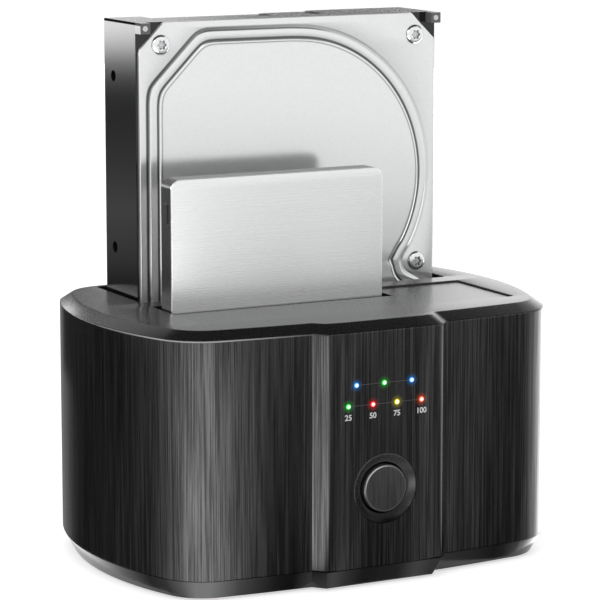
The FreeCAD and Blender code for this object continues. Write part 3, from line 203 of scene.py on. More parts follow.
def add(tree, kind, sockets=None, **settings):
    """Adds a shader node: settings are its options, and each socket gets a value or a link."""
    new = tree.nodes.new("ShaderNode" + kind)
    for option, value in settings.items():
        setattr(new, option, value)
    for socket, value in (sockets or {}).items():
        if isinstance(value, bpy.types.NodeSocket):
            tree.links.new(value, new.inputs[socket])
        else:
            new.inputs[socket].default_value = value
    return new


def finish_of(name, sockets):
    """A material and its tree, with one principled shader that has these sockets."""
    material = bpy.data.materials.new(name)
    material.use_nodes = True
    tree = material.node_tree
    tree.nodes.clear()
    output = add(tree, "OutputMaterial")
    shader = add(tree, "BsdfPrincipled", sockets)
    tree.links.new(shader.outputs[0], output.inputs[0])
    return material, tree, shader


def grain(tree, sizes, detail, roughness=0.55):
    """Noise whose grains have these sizes in mm along X, Y and Z."""
    place = add(tree, "TexCoord").outputs["Object"]
    scale = [1 / (size * MM) for size in sizes]
    spread = add(tree, "Mapping", {"Vector": place, "Scale": scale})
    return add(tree, "TexNoise", {"Vector": spread.outputs[0], "Scale": 1.0, "Detail": detail,
                                  "Roughness": roughness}).outputs["Fac"]


def vary(tree, factor, low, high, start=0.3, end=0.7):
    """What goes from low to high while factor goes from start to end: low plus that share of the
    difference. Both are numbers, or both are colours, as hex values or sockets."""
    plain = isinstance(high, (int, float))
    ends = (low, high) if plain else (0, 1)
    share = add(tree, "MapRange", {0: factor, 1: start, 2: end, 3: ends[0], 4: ends[1]}).outputs[0]
    if plain:
        return share
    low, high = (srgb(c) if isinstance(c, str) else c for c in (low, high))
    return add(tree, "Mix", {0: share, 6: low, 7: high}, data_type="RGBA").outputs[2]


def wear(material, made, *nodes):
    """Gives a piece, or None, and CAD nodes this material."""
    for thing in (made, *(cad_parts[node] for node in nodes)):
        if thing is None:
            continue
        if not thing.material_slots:
            thing.data.materials.append(material)
        thing.material_slots[0].material = material


# Brushed black anodised aluminium: upright scratches about 0.45 mm apart and 40 mm long, with
# wider, fainter streaks, so that the sheen breaks into fine upright lines. Real scratches are
# finer: these are as coarse as they need to be to show.
brushed_black, tree, shader = finish_of("brushed_black_aluminium", {"IOR": 1.5})
fine = grain(tree, (0.45, 0.45, 40.0), 4.0, 0.7)
broad = grain(tree, (1.1, 1.1, 60.0), 2.0)
shade = vary(tree, fine, "#010101", "#2C2C2C", 0.43, 0.64)
shade = vary(tree, vary(tree, broad, 0.0, 0.7, 0.4, 0.6), shade, "#020202", 0, 1)
# Painted highlight: where the attribute shade is set, as on the wall's upper edge, the colour goes
# to light grey.
painted_highlight = add(tree, "Attribute", attribute_name="shade").outputs["Fac"]
shade = vary(tree, painted_highlight, shade, "#B0B0B0", 0, 1)
tree.links.new(shade, shader.inputs["Base Color"])
tree.links.new(vary(tree, fine, 0.22, 0.13), shader.inputs["Roughness"])
tree.links.new(vary(tree, fine, 0.28, 0.85, 0.4, 0.64), shader.inputs["Specular IOR Level"])
relief = add(tree, "Bump", {"Height": fine, "Distance": 0.016 * MM})
tree.links.new(relief.outputs[0], shader.inputs["Normal"])


def middle_of(node):
    """Middle and size of a node's box: half the sum of its corners, and their difference."""
    low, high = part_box(node)
    return (low + high) / 2, high - low


rim_low, rim_high = wall_low.z, wall_high.z
outer_top = round_corner((0, rim_high), (0, rim_low), (WALL_T, rim_high), RIM_EASE)
outer_low = round_corner((0, rim_low), (WALL_T, rim_low), (0, rim_high), RIM_EASE)
heights = np.array([rim_low + 1.5 * RIM_EASE, rim_low + 5 * RIM_EASE, middle_of("wall_shell")[0].z,
                    rim_high - 5 * RIM_EASE, rim_high - 1.5 * RIM_EASE])
profile = [*outer_low, *((0.0, z) for z in heights), *outer_top,
           (WALL_T, rim_high), (WALL_T, rim_low)]
# The upper edge carries a painted highlight at its outer corner, round the left end of the front:
# there its colour is lifted to light grey.
HIGHLIGHT_FROM = np.array([18.0, 3.0]) * MM     # from the middle, to the left and to the front
HIGHLIGHT_FADE = 30.0 * MM
loops = around(profile)
on_edge = np.abs(np.arange(len(profile)) - len(outer_low) - len(heights) - 1) <= 1
reach = np.prod(np.clip((-loops[0, :, :2] - HIGHLIGHT_FROM) / HIGHLIGHT_FADE, 0, 1), axis=1)
wall = build("wall", [(*band(loops, wrap_rows=True), np.outer(on_edge, reach).ravel())])


def cut(made, tools):
    """Takes the tools' shapes out of a piece, and the tools away."""
    for tool in tools:
        modifier = made.modifiers.new("cut", "BOOLEAN")
        modifier.object = tool
        modifier.solver = "EXACT"
    bpy.context.view_layer.update()
    shaped = made.evaluated_get(bpy.context.evaluated_depsgraph_get())
    mesh = bpy.data.meshes.new_from_object(shaped)
    made.modifiers.clear()
    made.data = mesh
    mesh.polygons.foreach_set("use_smooth", np.ones(len(mesh.polygons), bool))
    mesh.set_sharp_from_angle(angle=math.radians(40))
    for tool in tools:
        bpy.data.objects.remove(tool)


def bar(name, x, y, z, ring):
    """Closed bar along Y between two values, with this closed (x, z) outline."""
    loops = np.stack([np.column_stack([ring[:, 0] + x, np.full(len(ring), at), ring[:, 1] + z])
                      for at in y])
    caps = [(loops[k], np.arange(len(ring))[None, :]) for k in (0, 1)]
    return build(name, [band(loops), *caps])


def circle(radius, count=48):
    """Closed circle: a full arc without its last point."""
    return sweep((0, 0), radius, 0, math.tau * (1 - 1 / count), count)


def rectangle(width, height):
    """Corners of a rectangle about the origin: plus and minus half of each size."""
    return np.array([(-width, -height), (width, -height), (width, height), (-width, height)]) / 2


def vertices(mesh):
    """Points of a mesh, as rows of (x, y, z)."""
    points = np.empty(len(mesh.vertices) * 3)
    mesh.vertices.foreach_get("co", points)
    return points.reshape(-1, 3)


BEZEL_R = 10.3 * MM
LAMP_R = 0.8 * MM
JACK_HOLE_R = 4.6 * MM
PORT_ROOM = 0.1 * MM
HOLE_ROOM = 0.05 * MM
bezel_middle = middle_of("button_bezel")[0]
jack_middle = middle_of("dc_jack")[0]
lamps = []
for node in ("lamps_blue", "lamps_green", "lamp_red", "lamp_yellow", "lamp_orange"):
    points = vertices(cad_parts[node].data)
    nose = points[points[:, 1] < panel_y + 0.01 * MM]
    split = [nose[nose[:, 0] < nose[:, 0].mean()], nose[nose[:, 0] >= nose[:, 0].mean()]]
    groups = split if node.startswith("lamps") else [nose]
    lamps.extend((node, (g[:, 0].min() + g[:, 0].max()) / 2, (g[:, 2].min() + g[:, 2].max()) / 2)
                 for g in groups)
through_front = (panel_y - MM, panel_y + 2 * WALL_T)
through_back = (back_y - 4 * WALL_T, back_y + MM)
tools = [bar("hole", x, through_front, z, circle(LAMP_R + HOLE_ROOM, 20)) for _, x, z in lamps]
tools.append(bar("hole", 0, through_front, bezel_middle.z, circle(BEZEL_R + HOLE_ROOM, 72)))
for node in ("usb_shell", "switch_body"):
    middle, size = middle_of(node)
    tools.append(bar("hole", middle.x, through_back, middle.z,
                     rectangle(size.x + 2 * PORT_ROOM, size.z + 2 * PORT_ROOM)))
tools.append(bar("hole", jack_middle.x, through_back, jack_middle.z, circle(JACK_HOLE_R)))
cut(wall, tools)

# Painted light: each lamp's glow on the panel round it is drawn as the panel itself glowing a
# little in that lamp's colour.
LAMP_COLOURS = {"lamps_blue": "#0F76C4", "lamps_green": "#08A828", "lamp_red": "#E01010",
                "lamp_yellow": "#B4A808", "lamp_orange": "#E04C10"}
place = add(tree, "TexCoord").outputs["Object"]
SPILL_FROM, SPILL_TO = 0.3 * MM, 2.5 * MM
spill = srgb("#000000")
for node, x, z in lamps:
    away = add(tree, "VectorMath", {0: place, 1: (x, panel_y, z)},
               operation="DISTANCE").outputs[1]
    near = add(tree, "MapRange", {0: away, 1: SPILL_FROM, 2: SPILL_TO, 3: 1.0, 4: 0.0},
               interpolation_type="SMOOTHERSTEP").outputs[0]
    spill = add(tree, "Mix", {0: near, 6: spill, 7: srgb(LAMP_COLOURS[node])}, data_type="RGBA",
                blend_type="ADD").outputs[2]
tree.links.new(spill, shader.inputs["Emission Color"])
shader.inputs["Emission Strength"].default_value = 0.28
wear(brushed_black, wall)
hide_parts("wall_shell")
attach(wall, "dock")


# ---------------------------------------------------------------- the top
# The lid that frames the two bays: moulded ABS with a fine satin texture, a wide sloping rim and
# eased bay edges. It drops into the wall on short lips.
BEVEL_IN = 3.75 * MM
LID_EASE = 0.3 * MM
BAY_CORNER = 1.0 * MM
BAY_DEPTH = 33.0 * MM
BAY_PITCH = BAY_DEPTH + 7.9 * MM
FLAP_GAP = 0.4 * MM
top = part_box("top_cover")[1].z
flap_low, flap_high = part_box("front_big_flap")
bay_left = flap_low.x - FLAP_GAP
bay_right = flap_high.x + FLAP_GAP
front_bay_y = flap_high.y + FLAP_GAP - BAY_DEPTH


def rounded(width, height, inset, radius, count=10):
    """Rounded rectangle from the origin, moved in by inset: four quarter circles."""
    r = radius - inset
    x0, x1, y0, y1 = radius, width - radius, radius, height - radius
    return np.vstack([sweep((cx, cy), r, a, a + math.pi / 2, count)
                      for cx, cy, a in ((x1, y1, 0), (x0, y1, math.pi / 2), (x0, y0, math.pi),
                                        (x1, y0, 1.5 * math.pi))])


def window(y, grow):
    """Outline of a bay whose front is at y, moved out by grow."""
    return rounded(bay_right - bay_left, BAY_DEPTH, -grow, BAY_CORNER, 7) + (bay_left, y)


def layers(loops, heights, shades=None):
    """Band through loops at these heights, with a shade for each loop."""
    grid = np.stack([np.column_stack([loop, np.full(len(loop), z)])
                     for loop, z in zip(loops, heights)])
    shades = np.zeros(len(loops)) if shades is None else shades
    return (*band(grid), np.repeat(shades, len(loops[0])))


def filled(curve):
    """Points and triangles of a flat curve or text, which is used up."""
    holder = bpy.data.objects.new(curve.name, curve)
    mesh = bpy.data.meshes.new_from_object(holder)
    points = vertices(mesh)
    corners = np.empty(len(mesh.loops), int)
    mesh.loops.foreach_get("vertex_index", corners)
    bpy.data.objects.remove(holder)
    bpy.data.curves.remove(curve)
    bpy.data.meshes.remove(mesh)
    return points, corners.reshape(-1, 3)


def flat(loops, height):
    """Fills the plane between closed outlines, the first one outside and the rest its holes."""
    curve = bpy.data.curves.new("flat", "CURVE")
    curve.dimensions = "2D"
    curve.fill_mode = "BOTH"
    for loop in loops:
        spline = curve.splines.new("POLY")
        spline.points.add(len(loop) - 1)
        spline.points.foreach_set("co", np.column_stack(
            [loop, np.zeros(len(loop)), np.ones(len(loop))]).ravel())
        spline.use_cyclic_u = True
    points, faces = filled(curve)
    points[:, 2] = height
    return points, faces


def grained(name, sockets, sizes, detail, tints, gloss=None, relief=None):
    """A finish with one fine grain, along which the colour goes between two tints. Where given,
    the roughness goes between two values too, and the surface rises by relief, in mm."""
    material, tree, shader = finish_of(name, sockets)
    fine = grain(tree, sizes, detail)
    tree.links.new(vary(tree, fine, *tints), shader.inputs["Base Color"])
    if gloss:
        tree.links.new(vary(tree, fine, *gloss), shader.inputs["Roughness"])
    if relief:
        raised = add(tree, "Bump", {"Height": fine, "Distance": relief * MM})
        tree.links.new(raised.outputs[0], shader.inputs["Normal"])
    return material


shoulder = round_corner((BEVEL_IN, top), (2 * BEVEL_IN, top), (0, rim_high), LID_EASE, 6)
toe = round_corner((0, rim_high), (BEVEL_IN, top), (BEVEL_IN, rim_high), LID_EASE / 2, 4)
rim = [*shoulder, *toe]
windows = [front_bay_y, front_bay_y + BAY_PITCH]
edge = [*round_corner((0, top), (LID_EASE, top), (0, rim_high), LID_EASE), (0.0, rim_high)]
lid = build("lid", [
    band(around(rim)),
    flat([outline(rim[0][0])] + [window(y, LID_EASE) for y in windows], top),
    flat([outline(rim[-1][0])] + [window(y, 0) for y in windows], rim_high),
    *(layers([window(y, grow) for grow, _ in edge], [z for _, z in edge]) for y in windows)],
    sharp=30)
satin_black = grained("satin_black_abs", {"IOR": 1.5}, (0.35, 0.35, 0.35), 3.0,
                      ("#101010", "#181818"), (0.24, 0.31), 0.004)
wear(satin_black, lid)
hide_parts("top_cover")
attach(lid, "dock")


# ---------------------------------------------------------------- the base
# The tray under the wall: black ABS with a polished sloping skirt. Its floor has two rows of
# vent slots, four screw wells and four round seats for the feet.
polished_black = grained("polished_black_abs", {"IOR": 1.5}, (0.6, 0.6, 0.6), 2.0,
                         ("#101010", "#161616"), (0.16, 0.26), 0.003)
wear(polished_black, None, "base_tray")


# ---------------------------------------------------------------- lamps, bezel and button
# Seven light guides in the panel show power, both bays and the copy's progress. Each is a clear
# tinted acrylic rod, lit from its board, with a low dome that stands just proud of the panel.
DOME_H = 0.28 * MM
ROD_SIDES = 24


def turned(profile, count):
    """Surface of revolution about Y: each profile point (radius, y) gives one circle."""
    angle = np.linspace(0, math.tau, count, endpoint=False)
    radius, y = np.array(profile, float).T
    return np.stack([np.outer(radius, np.cos(angle)), np.repeat(y[:, None], count, 1),
                     np.outer(radius, np.sin(angle))], axis=2)


for node, colour in LAMP_COLOURS.items():
    # Tinted acrylic, lit from behind: white over the chip, and its own colour at the edge.
    lit, tree, shader = finish_of("lit_acrylic_" + node.split("_")[1],
                                  {"IOR": 1.49, "Roughness": 0.25, "Emission Strength": 1.6,
                                   "Base Color": srgb(colour)})
    core = add(tree, "Attribute", attribute_name="shade").outputs["Fac"]
    tree.links.new(vary(tree, core, colour, "#FFFFFF", 0.6, 1.0),
                   shader.inputs["Emission Color"])
    slope = np.linspace(0, math.pi / 2, 6)
    dome = np.column_stack([LAMP_R * np.sin(slope), panel_y - DOME_H * np.cos(slope)])
    rod = np.vstack([dome, [(LAMP_R, panel_y + WALL_T), (0.0, panel_y + WALL_T)]])
    bright = np.repeat([*np.cos(slope), 0, 0], ROD_SIDES)
    lens = build(node + "_lens", [(*band(turned(rod, ROD_SIDES) + (x, 0, z)), bright)
                                  for name, x, z in lamps if name == node])
    wear(lit, lens, node)
    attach(lens, "dock")


# The legend is a thin print: plain white numbers under the lower lamps, and dim hairlines that
# join the lamps of each row.
INK_T = 0.012 * MM
HAIRLINE_HALF = 0.07 * MM
HAIRLINE_PAST = 1.8 * MM  # beyond the last lamp of a row
HAIRLINE_POINTS = 20
DIGIT_SIZE = 2.3 * MM
DIGIT_BOLD = 0.05 * MM
DIGIT_DROP = 4.0 * MM     # from the lamps' middles to the numbers' feet


def on_panel(points):
    """Lays (x, height) points on the panel's face, which curves back near its edges by the
    square of the way in from where the curve starts."""
    past = np.clip(np.abs(points[:, 0]) - PANEL_FACE + PANEL_EASE, 0, None) / PANEL_EASE
    return np.column_stack([points[:, 0], panel_y + PANEL_CROWN * past**2 - INK_T,
                            points[:, 1]])


rows = sorted({round(z, 5) for _, _, z in lamps}, reverse=True)
prints = []
for z in rows:
    xs = [x for _, x, at in lamps if abs(at - z) < MM]
    line = np.linspace(min(xs), max(xs) + HAIRLINE_PAST, HAIRLINE_POINTS)
    grid = np.stack([on_panel(np.column_stack([line, np.full(HAIRLINE_POINTS, z + half)]))
                     for half in (-HAIRLINE_HALF, HAIRLINE_HALF)])
    prints.append(band(grid, wrap_columns=False))
lower = sorted(x for _, x, at in lamps if abs(at - rows[-1]) < MM)
for text, x in zip(("25", "50", "75", "100"), lower):
    letters = bpy.data.curves.new("number", "FONT")
    letters.body = text
    letters.size = DIGIT_SIZE
    letters.offset = DIGIT_BOLD
    letters.align_x = "CENTER"
    points, faces = filled(letters)
    points = points[:, :2] + (x, rows[-1] - DIGIT_DROP)
    prints.append((on_panel(points), faces, np.ones(len(points))))
legend = build("legend", prints)
white_ink, tree, shader = finish_of("white_ink", {"IOR": 1.5, "Roughness": 0.5})
fine = grain(tree, (0.15, 0.15, 0.15), 2.0)
white = vary(tree, fine, "#DADADA", "#F2F2F2")
solid = add(tree, "Attribute", attribute_name="shade").outputs["Fac"]
tree.links.new(vary(tree, solid, "#4C4C4C", white, 0, 1), shader.inputs["Base Color"])
wear(white_ink, legend)
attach(legend, "dock")

# The bezel is a glossy black ring, dished towards the button, with a painted highlight at its top,
# where its colour turns greyer and it reflects more.
gloss_black, tree, shader = finish_of("gloss_black_abs", {"IOR": 1.5})
fine = grain(tree, (0.8, 0.8, 0.8), 2.0)
height = add(tree, "SeparateXYZ", {0: add(tree, "TexCoord").outputs["Object"]}).outputs[2]
upper = vary(tree, height, 0, 1, bezel_middle.z - BEZEL_R, bezel_middle.z + 0.6 * BEZEL_R)
dark = vary(tree, fine, "#060606", "#0A0A0A")
# Painted highlight: greyer and more reflective towards the top.
tree.links.new(vary(tree, upper, dark, "#3E3E3E", 0, 1), shader.inputs["Base Color"])
tree.links.new(vary(tree, upper, 0.1, 0.6, 0, 1), shader.inputs["Specular IOR Level"])
tree.links.new(vary(tree, fine, 0.22, 0.3), shader.inputs["Roughness"])
BORE_R = 7.6 * MM
DISH = 1.3 * MM
LIP = 0.35 * MM
CHAMFER = 0.1 * MM
ROUND_SIDES = 96
t = np.linspace(0, 1, 12)
dish = np.column_stack([BEZEL_R - LIP - (BEZEL_R - LIP - BORE_R) * t,
                        panel_y + DISH * np.sin(t * math.pi / 2)])
ring = [(BEZEL_R, panel_y + WALL_T), (BEZEL_R, panel_y + 0.8 * CHAMFER),
        (BEZEL_R - CHAMFER, panel_y), *dish, (BORE_R, panel_y + WALL_T)]
bezel = build("bezel", [band(turned(ring, ROUND_SIDES) + (0, 0, bezel_middle.z), wrap_rows=True)],
              sharp=30)
wear(gloss_black, bezel, "button_bezel")
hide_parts("button_bezel")
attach(bezel, "dock")

# The button is brushed like the wall, with a slightly crowned edge that carries a painted
# highlight, brightest at the upper left.
BUTTON_R = 7.05 * MM
CROWN_SHARE = 0.9         # of the radius is the crown, and the rest its rounded edge
CROWN_H = 0.12 * MM
EDGE_H = 0.55 * MM
face_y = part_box("clone_button")[0].y
t = np.linspace(0, 1, 10)
crown = np.column_stack([BUTTON_R * CROWN_SHARE * t, face_y + CROWN_H * t**2])
turn = np.linspace(0, math.pi / 2, 8)
edge = np.column_stack([BUTTON_R * (CROWN_SHARE + (1 - CROWN_SHARE) * np.sin(turn)),
                        face_y + CROWN_H + EDGE_H * (1 - np.cos(turn))])
profile = [*crown, *edge[1:], (BUTTON_R, panel_y + WALL_T), (0, panel_y + WALL_T)]
# Painted highlight on the edge's first rows, brightest towards the upper left.
toward = np.cos(np.linspace(0, math.tau, ROUND_SIDES, endpoint=False) - math.radians(130))
on_edge = np.isin(np.arange(len(profile)) - len(crown), (0, 1))
painted_edge_highlight = np.outer(on_edge, np.clip(0.1 + np.clip(toward, 0, 1) ** 3, 0, 1))
cap = turned(profile, ROUND_SIDES) + (0, 0, bezel_middle.z)
button = build("button_cap", [(*band(cap), painted_edge_highlight.ravel())], sharp=50)
brushed_button, tree, shader = finish_of("brushed_black_button", {"IOR": 1.6})
fine = grain(tree, (0.35, 0.35, 12.0), 3.0)
shade = vary(tree, fine, "#060606", "#383838", 0.4, 0.64)
painted_highlight = add(tree, "Attribute", attribute_name="shade").outputs["Fac"]
tree.links.new(vary(tree, painted_highlight, shade, "#D8D8D8", 0, 1), shader.inputs["Base Color"])
tree.links.new(vary(tree, fine, 0.38, 0.24), shader.inputs["Roughness"])
relief = add(tree, "Bump", {"Height": fine, "Distance": 0.008 * MM})
tree.links.new(relief.outputs[0], shader.inputs["Normal"])
wear(brushed_button, button, "clone_button")
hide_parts("clone_button")
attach(button, "button")


# ---------------------------------------------------------------- the 3.5-inch drive
# A standard hard drive. Its lid is stamped stainless sheet with two raised steps, its tub is a
# black-coated casting, and star-socket screws hold the lid.
casting_low, casting_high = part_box("hdd_casting")
HDD_W = casting_high.x - casting_low.x
HDD_H = casting_high.z - casting_low.z
COVER_T = 1.2 * MM
STEP = 0.35 * MM          # each of the two pressed steps
SHEET_IN = 0.7 * MM       # lid to the drive's sides, and its cut corners
SHEET_CUT = 8.1 * MM
DISC_R = 46.4 * MM
# Middle of the discs and of the screws, from the drive's lower left corner.
DISC = np.array([52.3, 97.8]) * MM
SCREWS = np.array([(7.7, 140.3), (93.9, 140.3), (94.9, 69.7), (94.9, 6.7), (7.7, 6.7)]) * MM
SCREW_CLEAR = 5.0 * MM
HUB = np.array([DISC[0], SCREWS[2][1]])    # lines are drawn round this point
AROUND = 720
spokes = np.column_stack([np.cos(np.arange(AROUND) * math.tau / AROUND),
                          np.sin(np.arange(AROUND) * math.tau / AROUND)])


def side_reach(sides, inset):
    """Distance from the hub, along each spoke, to the nearest side. A side is (point, normal)
    and is moved in by inset: its distance over the cosine between spoke and normal."""
    reach = np.full(AROUND, 1.0)
    for point, normal in sides:
        normal = np.array(normal) / np.hypot(*normal)
        along = spokes @ normal
        room = (np.array(point) * MM - HUB) @ normal - inset
        reach = np.where(along > 0.01, np.minimum(reach, room / np.maximum(along, 0.01)), reach)
    return reach


def pressed_line(inset):
    """Line of a pressed step, moved in by inset: straight on the left, the disc's circle at the
    upper right, hollow round each screw, then averaged over its neighbours to ease the corners."""
    sides = [((3.3, 0), (-1, 0)), ((0, 144.3), (0, 1)), ((3.3, 127.2), (-1, 0.99)),
             ((0, 5), (0, -1)), ((98, 0), (1, 0))]
    reach = side_reach(sides, inset)
    rise = DISC[1] - HUB[1]
    radius = DISC_R - inset
    disc = spokes[:, 1] * rise + np.sqrt(radius**2 - (rise * spokes[:, 0]) ** 2)
    reach = np.where((spokes[:, 0] > 0) & (spokes[:, 1] > 0), disc, reach)
    for screw in SCREWS:
        along = spokes @ (screw - HUB)
        off = (screw - HUB) @ (screw - HUB) - along**2
        clear = (SCREW_CLEAR + inset) ** 2
        near = along - np.sqrt(np.maximum(clear - off, 0))
        reach = np.where((off < clear) & (along > 0), np.minimum(reach, near), reach)
    step = np.arange(-9, 10)
    weight = np.exp(-(step / 4.0) ** 2)
    reach = sum(w * np.roll(reach, k) for k, w in zip(step, weight / weight.sum()))
    return HUB + spokes * reach[:, None]


def sheet_edge(inset):
    """Edge of the lid, moved in by inset: a rectangle with its upper corners cut off."""
    width = HDD_W / MM
    height = HDD_H / MM
    low = SHEET_IN / MM
    cut_off = SHEET_CUT / MM
    sides = [((low, 0), (-1, 0)), ((width - low, 0), (1, 0)), ((0, height), (0, 1)),
             ((0, low), (0, -1)), ((low, height - cut_off), (-1, 1)),
             ((width - low, height - cut_off), (1, 1))]
    return HUB + spokes * side_reach(sides, inset)[:, None]


def facing(low, level):
    """Stands a shape drawn as (x, height, out) up against the plane y = level, facing forwards."""
    return Matrix.Translation((low.x, level, low.z)) @ Matrix.Rotation(math.pi / 2, 4, "X")


# Rows of each step: how far in, how high and how dark, the darkness being painted shade. A narrow
# groove runs along its foot.
FIRST = np.array([(-0.75, 0, 0), (-0.45, -0.07, 0.8), (-0.15, -0.16, 1), (0.2, -0.1, 1),
                  (0.5, 0.12, 0.7), (0.75, 0.32, 0), (1.3, 0.35, 0)])
SECOND = np.array([(2.7, 0.35, 0), (2.95, 0.28, 0.8), (3.2, 0.2, 1), (3.5, 0.28, 0.9),
                   (3.8, 0.5, 0), (4.15, 0.66, 0), (4.4, 0.63, 0.8), (4.65, 0.68, 0.1),
                   (5.0, 0.7, 0)])
pressed = np.vstack([FIRST, SECOND])
# The first step's painted shade nearly vanishes on the right, where its slope faces the light.
lit_side = np.clip(0.5 + 0.9 * spokes @ np.array([0.8, -0.1]), 0, 0.85)
painted_fold_shade = np.repeat(pressed[:, 2:], AROUND, 1)
painted_fold_shade[:len(FIRST)] *= 1 - lit_side
base_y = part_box("hdd_cover")[1].y - COVER_T
EDGE_EASE = 0.25 * MM
edge_rows = round_corner((0, 0), (0, -COVER_T), (COVER_T, 0), EDGE_EASE)
cover = build("drive_lid", [
    layers([sheet_edge(inset) for inset, _ in edge_rows], edge_rows[:, 1]),
    layers([sheet_edge(0), sheet_edge(0)], [-COVER_T, -EDGE_EASE]),
    flat([sheet_edge(0)], -COVER_T),
    flat([sheet_edge(EDGE_EASE), pressed_line(FIRST[0, 0] * MM)], 0),
    (*layers([pressed_line(inset * MM) for inset in pressed[:, 0]], pressed[:, 1] * MM)[:2],
     painted_fold_shade.ravel()),
    flat([pressed_line(SECOND[-1, 0] * MM)], 2 * STEP)], sharp=50, weld=0.0005 * MM,
    place=facing(casting_low, base_y))

# Stamped stainless sheet: a soft even sheen, and thin dark lines of painted shade along the folds,
# where they face away from the light.
stamped_steel, tree, shader = finish_of("stamped_stainless_steel", {"Metallic": 0.62})
fine = grain(tree, (0.8, 0.8, 0.8), 3.0)
steel = vary(tree, fine, "#F0F1F1", "#F6F7F7")
fold_shade = add(tree, "Attribute", attribute_name="shade").outputs["Fac"]
# Painted shade: along the folds the colour goes towards near black.
painted_shade = vary(tree, fold_shade, 0, 0.92, 0, 1)
tree.links.new(vary(tree, painted_shade, steel, "#262627", 0, 1), shader.inputs["Base Color"])
tree.links.new(vary(tree, fine, 0.16, 0.19), shader.inputs["Roughness"])
wear(stamped_steel, cover)
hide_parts("hdd_cover")
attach(cover, "hard_drive")

# Pan-head screws with a six-lobed socket, nickel plated: white glints, and painted shade in the
# socket and round the foot of each head.
HEAD_R = 3.0 * MM
HEAD_H = 0.9 * MM
turn = np.linspace(0, math.tau, 72, endpoint=False)
ray = np.column_stack([np.cos(turn), np.sin(turn)])
lobes = ray * (1.25 + 0.22 * np.cos(6 * turn))[:, None] * MM
# Rings of each head: outline, height and painted shade.
head = [(ray * 0, 0.35, 0.3), (lobes * 0.9, 0.35, 0.6), (lobes, 0.9, 0.9), (lobes * 1.05, 1.0, 0),
        (ray * 1.8 * MM, 1.0, 0), (ray * 2.2 * MM, 0.93, 0), (ray * 2.5 * MM, 0.8, 0),
        (ray * 2.75 * MM, 0.58, 0), (ray * 2.92 * MM, 0.3, 0.3), (ray * HEAD_R, 0.1, 0.9),
        (ray * HEAD_R, 0, 1), (ray * 0, 0, 0)]
loops, heights, painted_screw_shade = zip(*head)
screws = build("drive_lid_screws", [layers([loop + screw for loop in loops],
                                           np.array(heights) * HEAD_H, painted_screw_shade) for screw in SCREWS],
               sharp=35, place=facing(casting_low, base_y))
nickel, tree, shader = finish_of("nickel_plated_steel", {"Metallic": 1.0})
fine = grain(tree, (0.3, 0.3, 0.3), 3.0)
plating = vary(tree, fine, "#E2E4E6", "#F4F5F6")
# Painted shade in the socket and round the foot of each head.
painted_screw_shade = add(tree, "Attribute", attribute_name="shade").outputs["Fac"]
painted_shade = vary(tree, painted_screw_shade, 0, 0.85, 0, 1)
tree.links.new(vary(tree, painted_shade, plating, "#202020", 0, 1), shader.inputs["Base Color"])
tree.links.new(vary(tree, fine, 0.14, 0.22), shader.inputs["Roughness"])
wear(nickel, screws, "board_screws", "front_board_screws", "usb_shell",
     "front_hinge_pins", "rear_hinge_pins", "dc_pin", "front_big_spring", "front_small_spring",
     "rear_big_spring", "rear_small_spring")
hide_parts("hdd_cover_screws")
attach(screws, "hard_drive")

# Two datum pads in the corner tabs are machined bare, so they show as light grey dots.
PAD_R = 0.88 * MM
PAD_Z = 145.4 * MM
TAB_BACK = 0.3 * MM
tabs = [np.array([x * MM, PAD_Z]) for x in (1.6, 100.0)]
spot = [(ray * 0, 0.27), (ray * (PAD_R - 0.08 * MM), 0.27), (ray * PAD_R, 0.2), (ray * PAD_R, 0),
        (ray * 0, 0)]
loops, heights = zip(*spot)
pads = build("datum_pads", [layers([loop + tab for loop in loops], np.array(heights) * MM)
                            for tab in tabs], place=facing(casting_low, casting_low.y + TAB_BACK))
wear(grained("machined_aluminium", {"Metallic": 0.4, "Roughness": 0.45}, (0.2, 0.2, 0.2), 2.0,
             ("#D0D0D0", "#E4E4E4")), pads)
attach(pads, "hard_drive")

# Black e-coat over the cast tub: a deep satin black with a fine orange-peel. Painted light lifts
# the two corners that the lid leaves open to grey, and a painted dark line, with no reflection,
# runs where the upper edge meets the left side.
OPEN_H = 9.0 * MM         # open corners, down from the top and back from the front
OPEN_DEEP = 3.6 * MM
DARK_EDGE_H = 0.7 * MM         # painted dark strip, down from the top and in from the side
DARK_EDGE_IN = 0.15 * MM
BLUR = 0.2 * MM
coated_casting, tree, shader = finish_of("black_coated_casting", {"IOR": 1.5})
fine = grain(tree, (0.8, 0.8, 0.8), 3.0)
coat = vary(tree, fine, "#141415", "#1C1C1D")
x, y, z = add(tree, "SeparateXYZ", {0: add(tree, "TexCoord").outputs["Object"]}).outputs
top_z = casting_high.z
# Painted light: the two open corners are lifted to grey.
high = vary(tree, z, 0, 1, top_z - OPEN_H - BLUR, top_z - OPEN_H)
ahead = vary(tree, y, 1, 0, casting_low.y + OPEN_DEEP, casting_low.y + OPEN_DEEP + BLUR)
corner = add(tree, "Math", {0: high, 1: ahead}, operation="MULTIPLY").outputs[0]
tree.links.new(vary(tree, corner, coat, "#686868", 0, 1), shader.inputs["Base Color"])
# Painted shade: no reflection along the upper edge at the left side, so it shows as a dark line.
high = vary(tree, z, 0, 1, top_z - DARK_EDGE_H - BLUR, top_z - DARK_EDGE_H)
outer = vary(tree, x, 1, 0, casting_low.x + DARK_EDGE_IN, casting_low.x + 2 * DARK_EDGE_IN)
painted_dark_edge = add(tree, "Math", {0: high, 1: outer}, operation="MULTIPLY").outputs[0]
tree.links.new(vary(tree, painted_dark_edge, 0.5, 0, 0, 1), shader.inputs["Specular IOR Level"])
tree.links.new(vary(tree, fine, 0.1, 0.14), shader.inputs["Roughness"])
relief = add(tree, "Bump", {"Height": fine, "Distance": 0.001 * MM})
tree.links.new(relief.outputs[0], shader.inputs["Normal"])
wear(coated_casting, None, "hdd_casting")


